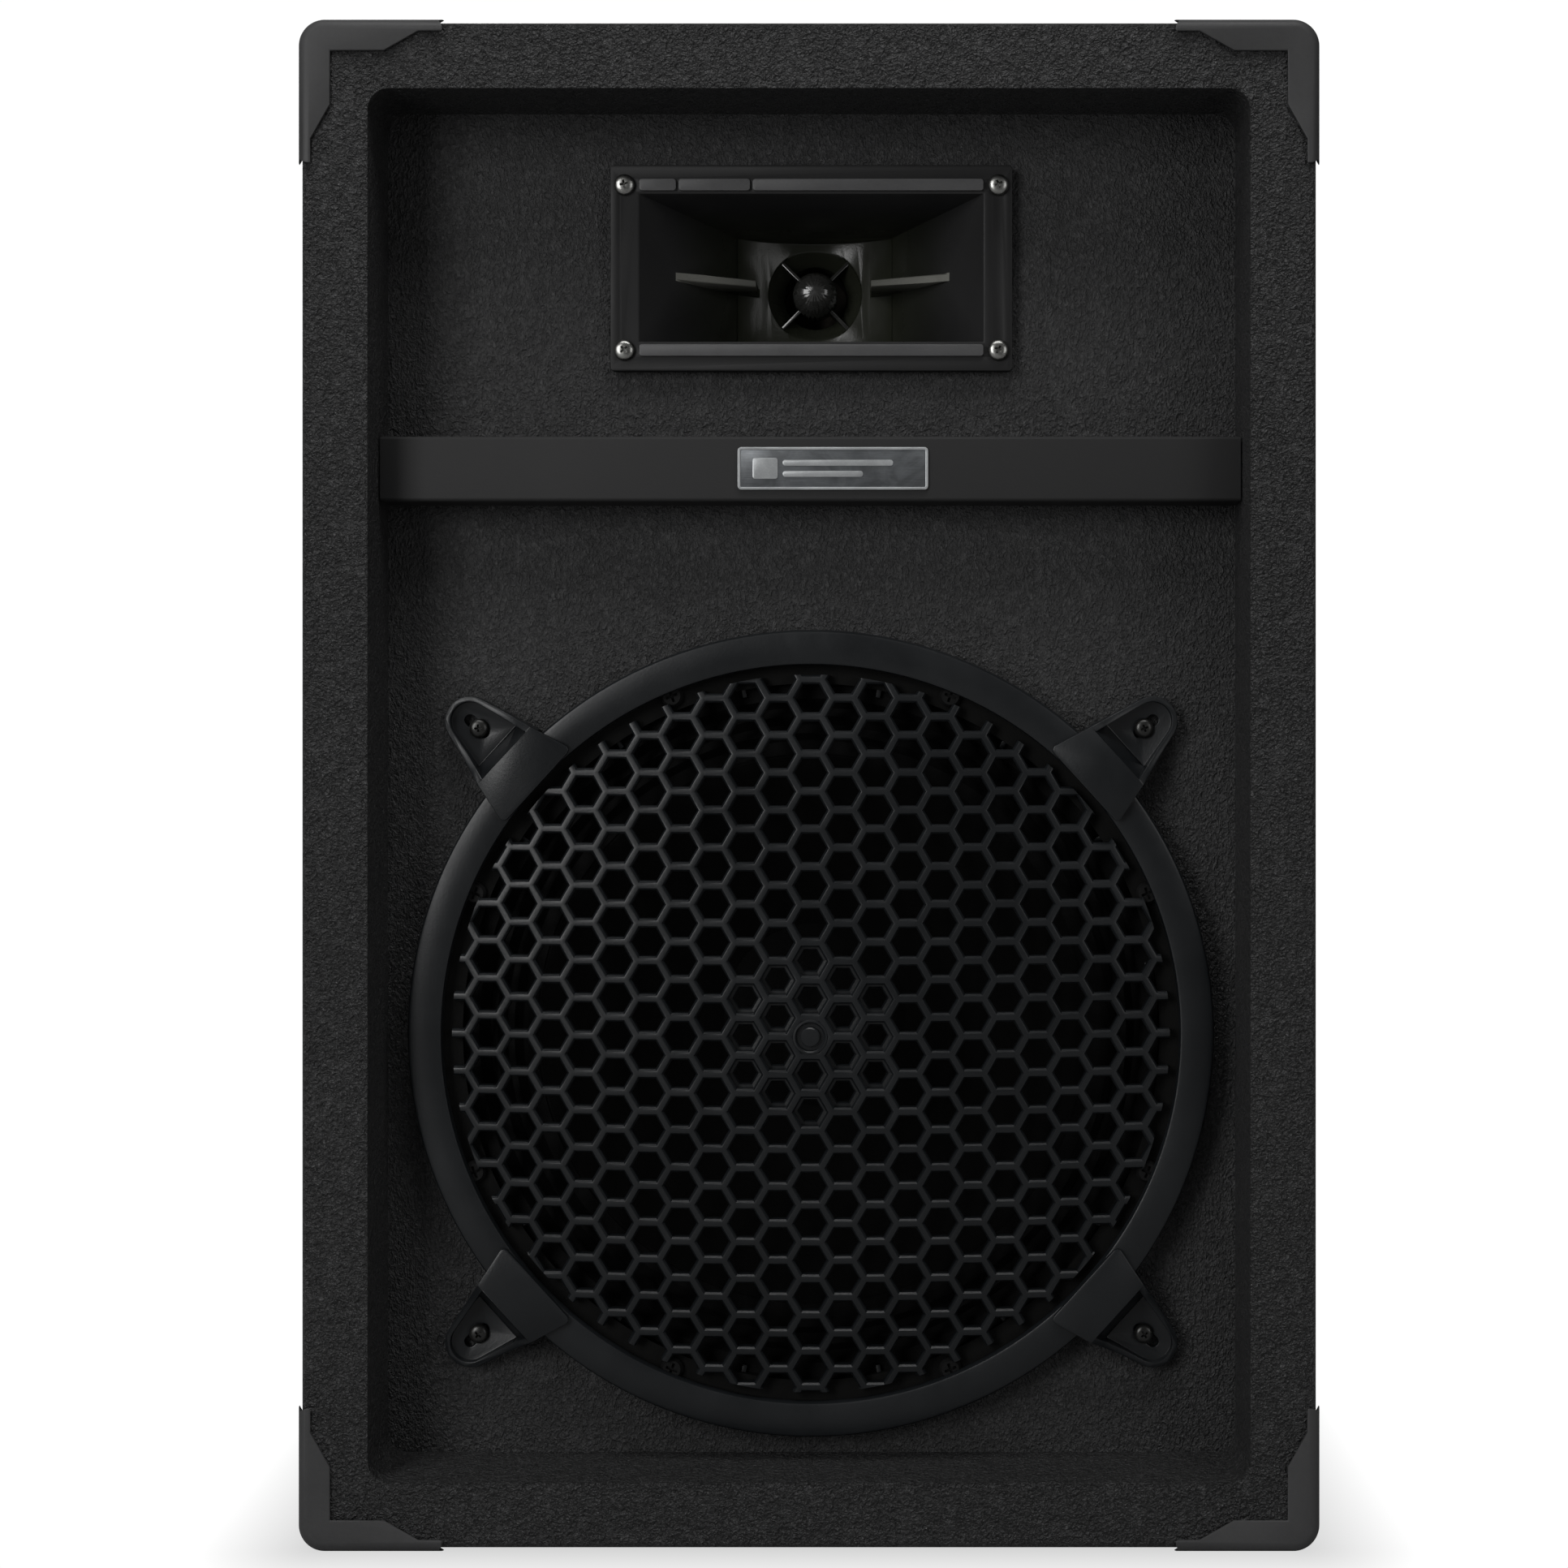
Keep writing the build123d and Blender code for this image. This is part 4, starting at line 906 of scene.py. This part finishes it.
hub_cell = hex_steps(
    "grille_hub",
    [
        (0.0059, 0.0004),
        (0.0046, 0.0002),
        (0.0040, -0.0006),
        (0.0040, -0.0024),
        (0.0062, -0.0024),
        (0.0062, 0.0004),
        (0.0059, 0.0004),
    ],
)
hub_cells = []
for i in range(-3, 4):
    for j in range(-3, 4):
        spot = Vector((i * column_step, (j + (i % 2) / 2) * cell_pitch, 0))
        if 0.001 < spot.length < 0.031:
            copy = start_piece(f"hub_cell_{i}_{j}", hub_cell.data.copy())
            copy.data.transform(Matrix.Translation(spot))
            hub_cells.append(copy)
bpy.data.objects.remove(hub_cell)
for copy in hub_cells:
    copy.select_set(True)
bpy.ops.object.join()
hub = bpy.context.object
hub.name = "grille_hub"
bpy.ops.object.mode_set(mode="EDIT")
bpy.ops.mesh.select_all(action="SELECT")
bpy.ops.mesh.remove_doubles(threshold=0.000005)
bpy.ops.object.mode_set(mode="OBJECT")
onto_grille(hub)
finish_piece(hub, "cabinet", "grille_black", grille_black)

button = turned(
    "grille_button",
    [
        (0, dome_apex - 0.004),
        (0.0072, dome_apex - 0.004),
        (0.0072, dome_apex - 0.0004),
        (0.0068, dome_apex + 0.0002),
        (0.0061, dome_apex + 0.0003),
        (0.0056, dome_apex - 0.0002),
        (0.0054, dome_apex - 0.0014),
        (0.0041, dome_apex - 0.0014),
        (0.0039, dome_apex + 0.0001),
        (0.0034, dome_apex + 0.0005),
        (0.0, dome_apex + 0.0006),
    ],
    grille_centre,
    toward_viewer,
    48,
)
finish_piece(button, "cabinet", "grille_black", grille_black)

ring_height = 0.014
ring_inner = 0.1485
ring = turned(
    "grille_ring",
    [
        (ring_inner, ring_height - 0.0050),
        (ring_inner, ring_height - 0.0009),
        (ring_inner + 0.0003, ring_height - 0.0003),
        (ring_inner + 0.0010, ring_height),
        (grille_radius - 0.0024, ring_height - 0.0002),
        (grille_radius - 0.0015, ring_height - 0.0005),
        (grille_radius - 0.0009, ring_height - 0.0012),
        (grille_radius - 0.0007, ring_height - 0.0022),
        (grille_radius - 0.0005, ring_height - 0.0060),
        (grille_radius, 0.0002),
        (grille_radius - 0.0030, 0.0002),
        (grille_radius - 0.0031, ring_height - 0.0065),
        (grille_radius - 0.0055, ring_height - 0.0050),
    ],
    grille_centre,
    toward_viewer,
    192,
)
finish_piece(ring, "cabinet", "grille_black", grille_black)

rib_place = (0.1465, 0, 0.0036)
rib_size = (0.0170, 0.0018, 0.0024)
rib_heads = []
for index in range(16):
    turn = math.radians(11.25 + 22.5 * index)
    bpy.ops.object.select_all(action="DESELECT")
    bpy.ops.mesh.primitive_cube_add(size=1, location=rib_place, scale=rib_size)
    rib = bpy.context.object
    bpy.ops.object.transform_apply(location=True, rotation=True, scale=True)
    rib.data.transform(Matrix.Rotation(turn, 4, "Z"))
    rib_heads.append(rib)
bpy.ops.object.select_all(action="DESELECT")
for rib in rib_heads:
    rib.select_set(True)
bpy.context.view_layer.objects.active = rib_heads[0]
bpy.ops.object.join()
ribs = bpy.context.object
ribs.name = "grille_ribs"
onto_grille(ribs, domed=False)
round_edges(ribs, 0.0002)
finish_piece(ribs, "cabinet", "grille_black", grille_black)

# ---------------------------------------------------------------- grille clamps
# Four moulded clamps: a flat tongue over the ring, a ramp down between two thin side ribs, and a
# rounded foot round a slotted pocket, each with one black cross-recess screw.
clamp_turn = 42.3
clamp_turns = (clamp_turn, 180 - clamp_turn, 180 + clamp_turn, -clamp_turn)
tongue_top = 0.0168
foot_centre = 0.187
foot_radius = 0.010
pocket_floor = 0.0035


def prism(name, outline, bottom, top):
    """An outline of (x, y) points extruded upwards between two heights."""
    bpy.ops.object.select_all(action="DESELECT")
    bpy.ops.mesh.primitive_circle_add(
        vertices=len(outline), radius=1, fill_type="NGON", location=(0, 0, bottom)
    )
    piece = bpy.context.object
    piece.name = name
    bpy.ops.object.transform_apply(location=True, rotation=True, scale=True)
    for vertex, (x, y) in zip(piece.data.vertices, outline):
        vertex.co.x = x
        vertex.co.y = y
    bpy.ops.object.mode_set(mode="EDIT")
    bpy.ops.mesh.select_all(action="SELECT")
    bpy.ops.mesh.extrude_region_move(TRANSFORM_OT_translate={"value": (0, 0, top - bottom)})
    bpy.ops.mesh.select_all(action="SELECT")
    bpy.ops.mesh.normals_make_consistent(inside=False)
    bpy.ops.object.mode_set(mode="OBJECT")
    return piece


def foot_arc(radius, half_angle, count):
    """Points round the outer end of the foot, from one side to the other."""
    points = []
    for index in range(count + 1):
        turn = math.radians(-half_angle + 2 * half_angle * index / count)
        points.append((foot_centre + radius * math.cos(turn), radius * math.sin(turn)))
    return points


tongue_corner = [(0.1500, 0.0198), (0.1487, 0.0192), (0.1481, 0.0180)]
outline = [(0.1650, -0.0160)] + foot_arc(foot_radius, 72, 12) + [(0.1650, 0.0160)]
outline += tongue_corner + [(x, -y) for x, y in reversed(tongue_corner)]
clamp = prism("clamp_plan", outline, -0.001, 0.020)
side_profile = [
    (0.1480, 0.0140),
    (0.1480, tongue_top),
    (0.1662, tongue_top),
    (0.1710, 0.0138),
    (0.1790, 0.0094),
    (0.1970, 0.0066),
    (0.1975, 0.0002),
    (0.1636, 0.0002),
    (0.1636, 0.0140),
]
side = prism("clamp_side", side_profile, -0.03, 0.03)
side.data.transform(Matrix.Rotation(math.radians(90), 4, "X"))
make_active(side)
bpy.ops.object.mode_set(mode="EDIT")
bpy.ops.mesh.select_all(action="SELECT")
bpy.ops.mesh.normals_make_consistent(inside=False)
bpy.ops.object.mode_set(mode="OBJECT")
cut_away(clamp, side, "INTERSECT")
side_rib = 0.0022
above_all = 0.03
ramp_start, start_half = 0.1662, 0.0128
ramp_end, end_half = 0.1722, 0.01145
pocket_outline = [(ramp_end - 0.0001, -end_half)]
pocket_outline += foot_arc(foot_radius - side_rib, 76, 12)
pocket_outline += [(ramp_end - 0.0001, end_half)]
cut_away(clamp, prism("pocket", pocket_outline, pocket_floor, above_all))
ramp_outline = [
    (ramp_start, -start_half),
    (ramp_end, -end_half),
    (ramp_end, end_half),
    (ramp_start, start_half),
]
ramp = prism("ramp", ramp_outline, pocket_floor, above_all)
for vertex in ramp.data.vertices:
    if vertex.co.z < 0.010 and vertex.co.x < 0.170:
        vertex.co.z = tongue_top
cut_away(clamp, ramp)
slot_points = []
for end, start_angle in ((1, -90), (-1, 90)):
    for index in range(9):
        turn = math.radians(start_angle + 22.5 * index)
        slot_points.append((0.1838 + end * 0.0037 + 0.0023 * math.cos(turn), 0.0023 * math.sin(turn)))
cut_away(clamp, prism("slot_hole", slot_points, -0.01, 0.03))
for index, turn in enumerate(clamp_turns):
    copy = start_piece(f"grille_clamp_{index}", clamp.data.copy())
    copy.data.transform(Matrix.Rotation(math.radians(turn), 4, "Z"))
    onto_grille(copy, domed=False)
    round_edges(copy, 0.00035, 2, 25)
    finish_piece(copy, "cabinet", "grille_black", grille_black, "grille_clamps")
bpy.data.objects.remove(clamp)

screw_radius = 0.1825
clamp_screw_spots = []
for turn, cross in zip(clamp_turns, (20, 5, 50, 33)):
    angle = math.radians(turn)
    spot = grille_centre + Vector(
        (screw_radius * math.cos(angle), -pocket_floor, screw_radius * math.sin(angle))
    )
    clamp_screw_spots.append((spot, toward_viewer, cross))
polished_black = moulded_material(
    "polished_black", (0.032, 0.032, 0.031), 0.3, 1500.0, 0.00002, 0.2, 120.0, Metallic=0.8
)
set_screws(
    "clamp_screw_heads",
    pan_head("clamp_screw_head", 0.0040, 0.0026),
    clamp_screw_spots,
    "black_screw",
    polished_black,
    "clamp_screws",
)

# ---------------------------------------------------------------- back
# A black painted chipboard panel held by ten pan-head screws, with a moulded dish let into it
# that carries two jack sockets with nickel nuts.
painted_board, tree, shader, where = new_material("painted_board")
chips = noise(tree, stretched(tree, where, (1, 1, 0.6)), 260.0, 3.0, 0.6, 0.6)
brush = noise(tree, stretched(tree, where, (1, 1, 0.05)), 400.0, 3.0, 0.6)
tone = math_node(
    tree,
    "MULTIPLY",
    map_range(tree, chips, 0.3, 0.7, 0.8, 1.2),
    map_range(tree, brush, 0.3, 0.7, 0.85, 1.15),
)
tree.links.new(shaded(tree, (0.017, 0.017, 0.018), tone), shader.inputs["Base Color"])
tree.links.new(map_range(tree, brush, 0.3, 0.7, 0.5, 0.7), shader.inputs["Roughness"])
tree.links.new(bump(tree, chips, 0.00035, bump(tree, brush, 0.00006)), shader.inputs["Normal"])
paint_cad(painted_board, "back_panel")
softened("back_panel_screws", "back_screws", 0.0002, "black_screw", screw_black)
dish_plastic = moulded_material("dish_plastic", (0.016, 0.016, 0.0165), 0.45, 1500.0, 0.00012, 0.12, 20.0)
softened("terminal_dish", "dish_moulding", 0.0006, "dish_black", dish_plastic)
softened("dish_screws", "dish_screw_heads", 0.00015, "black_screw", screw_black)
paint_cad(dish_plastic, "jack_sockets")
nickel = moulded_material(
    "nickel_plate", (0.66, 0.65, 0.62), 0.25, 1500.0, 0.00003, 0.15, 90.0, Metallic=1.0
)
softened("jack_nuts", "jack_nut_pair", 0.0003, "nut_steel", nickel)

# ---------------------------------------------------------------- side handles
# Two moulded plastic cups let into the sides, each with a grip bar across, held by four
# countersunk screws. They keep the drawn shape, with its own rounded corners.
paint_cad(dish_plastic, "handle_right", "handle_left")
softened("handle_screws", "handle_screw_heads", 0.00015, "black_screw", screw_black)

# ---------------------------------------------------------------- pole socket
# A powder-coated steel cup for a stand's pole, flanged and screwed under the bottom panel.
powder_coat = moulded_material("powder_coat", (0.02, 0.02, 0.02), 0.5, 1500.0, 0.0002, 0.12, 20.0)
softened("pole_socket", "pole_cup", 0.0005, "socket_metal", powder_coat)
paint_cad(screw_black, "pole_socket_screws")

# ---------------------------------------------------------------- crossover and wires
# A small board on four feet on the bottom panel, with an air-cored coil and a film capacitor,
# and the wires to the jacks, the woofer and the horn.
paint_cad(phenolic, "crossover_board")
paint_cad(copper, "crossover_coil")
film = moulded_material("film_wrap", (0.55, 0.45, 0.10), 0.3, 900.0, 0.00004, 0.12, 40.0)
paint_cad(film, "crossover_capacitor")
insulation = moulded_material("wire_insulation", (0.06, 0.01, 0.01), 0.4, 900.0, 0.00005, 0.15, 60.0)
paint_cad(insulation, "internal_wires")

# ---------------------------------------------------------------- studio
# A white floor with a painted soft shadow under the cabinet, and soft panels of light in a dim room.
bpy.ops.object.select_all(action="DESELECT")
bpy.ops.mesh.primitive_plane_add(size=14, location=(0, 0, 0))
floor = bpy.context.object
floor.name = "studio_floor"
floor_paint = bpy.data.materials.new("studio_paper")
floor_paint.use_nodes = True
tree = floor_paint.node_tree
tree.nodes.clear()
where = tree.nodes.new("ShaderNodeTexCoord").outputs["Object"]
split = add_node(tree, "ShaderNodeSeparateXYZ")
tree.links.new(where, split.inputs[0])
# Painted shadow: the floor's white falls to 0.62 grey under the cabinet and fades out 5 cm beyond its
# footprint.
sides = []
for label, half in (("X", 0.19), ("Y", 0.155)):
    beyond = math_node(tree, "SUBTRACT", math_node(tree, "ABSOLUTE", split.outputs[label]), half)
    beyond = math_node(tree, "MAXIMUM", beyond, 0.0)
    sides.append(math_node(tree, "POWER", beyond, 2.0))
away = math_node(tree, "SQRT", math_node(tree, "ADD", *sides))
shade = mix_colour(tree, map_range(tree, away, 0.0, 0.05, 0.0, 1.0), (0.62, 0.62, 0.62), (1.0, 1.0, 1.0))
white = add_node(tree, "ShaderNodeEmission", put={"Strength": 1.02})
tree.links.new(shade, white.inputs["Color"])
dim = add_node(tree, "ShaderNodeBsdfDiffuse", put={"Color": (0.35, 0.35, 0.35, 1)})
seen = tree.nodes.new("ShaderNodeLightPath")
both = tree.nodes.new("ShaderNodeMixShader")
tree.links.new(seen.outputs["Is Camera Ray"], both.inputs[0])
tree.links.new(dim.outputs[0], both.inputs[1])
tree.links.new(white.outputs[0], both.inputs[2])
tree.links.new(both.outputs[0], tree.nodes.new("ShaderNodeOutputMaterial").inputs["Surface"])
floor.data.materials.append(floor_paint)

world = bpy.data.worlds.new("studio_air")
bpy.context.scene.world = world
world.use_nodes = True
tree = world.node_tree
room = tree.nodes["Background"]
room.inputs["Color"].default_value = (1, 1, 1, 1)
seen = tree.nodes.new("ShaderNodeLightPath")
tree.links.new(map_range(tree, seen.outputs["Is Camera Ray"], 0.0, 1.0, 0.12, 1.02), room.inputs["Strength"])


def light_panel(name, place, target, size, power):
    """A soft rectangular light aimed at a point."""
    data = bpy.data.lights.new(name, "AREA")
    data.shape = "RECTANGLE"
    data.size, data.size_y = size
    data.energy = power
    panel = bpy.data.objects.new(name, data)
    bpy.context.scene.collection.objects.link(panel)
    panel.location = place
    panel.rotation_euler = (Vector(target) - Vector(place)).to_track_quat("-Z", "Y").to_euler()


light_panel("left_light", (-1.05, -1.6, 0.8), (0, 0, 0.3), (0.7, 1.1), 21)
light_panel("right_light", (1.4, -1.5, 0.7), (0, 0, 0.3), (0.8, 1.0), 6)
light_panel("top_light", (0.0, -0.8, 2.1), (0, -0.1, 0.3), (1.4, 0.8), 25)
light_panel("back_light", (-0.9, 2.0, 1.4), (0, 0, 0.3), (1.0, 1.0), 26)
bpy.context.scene.view_settings.view_transform = "Standard"
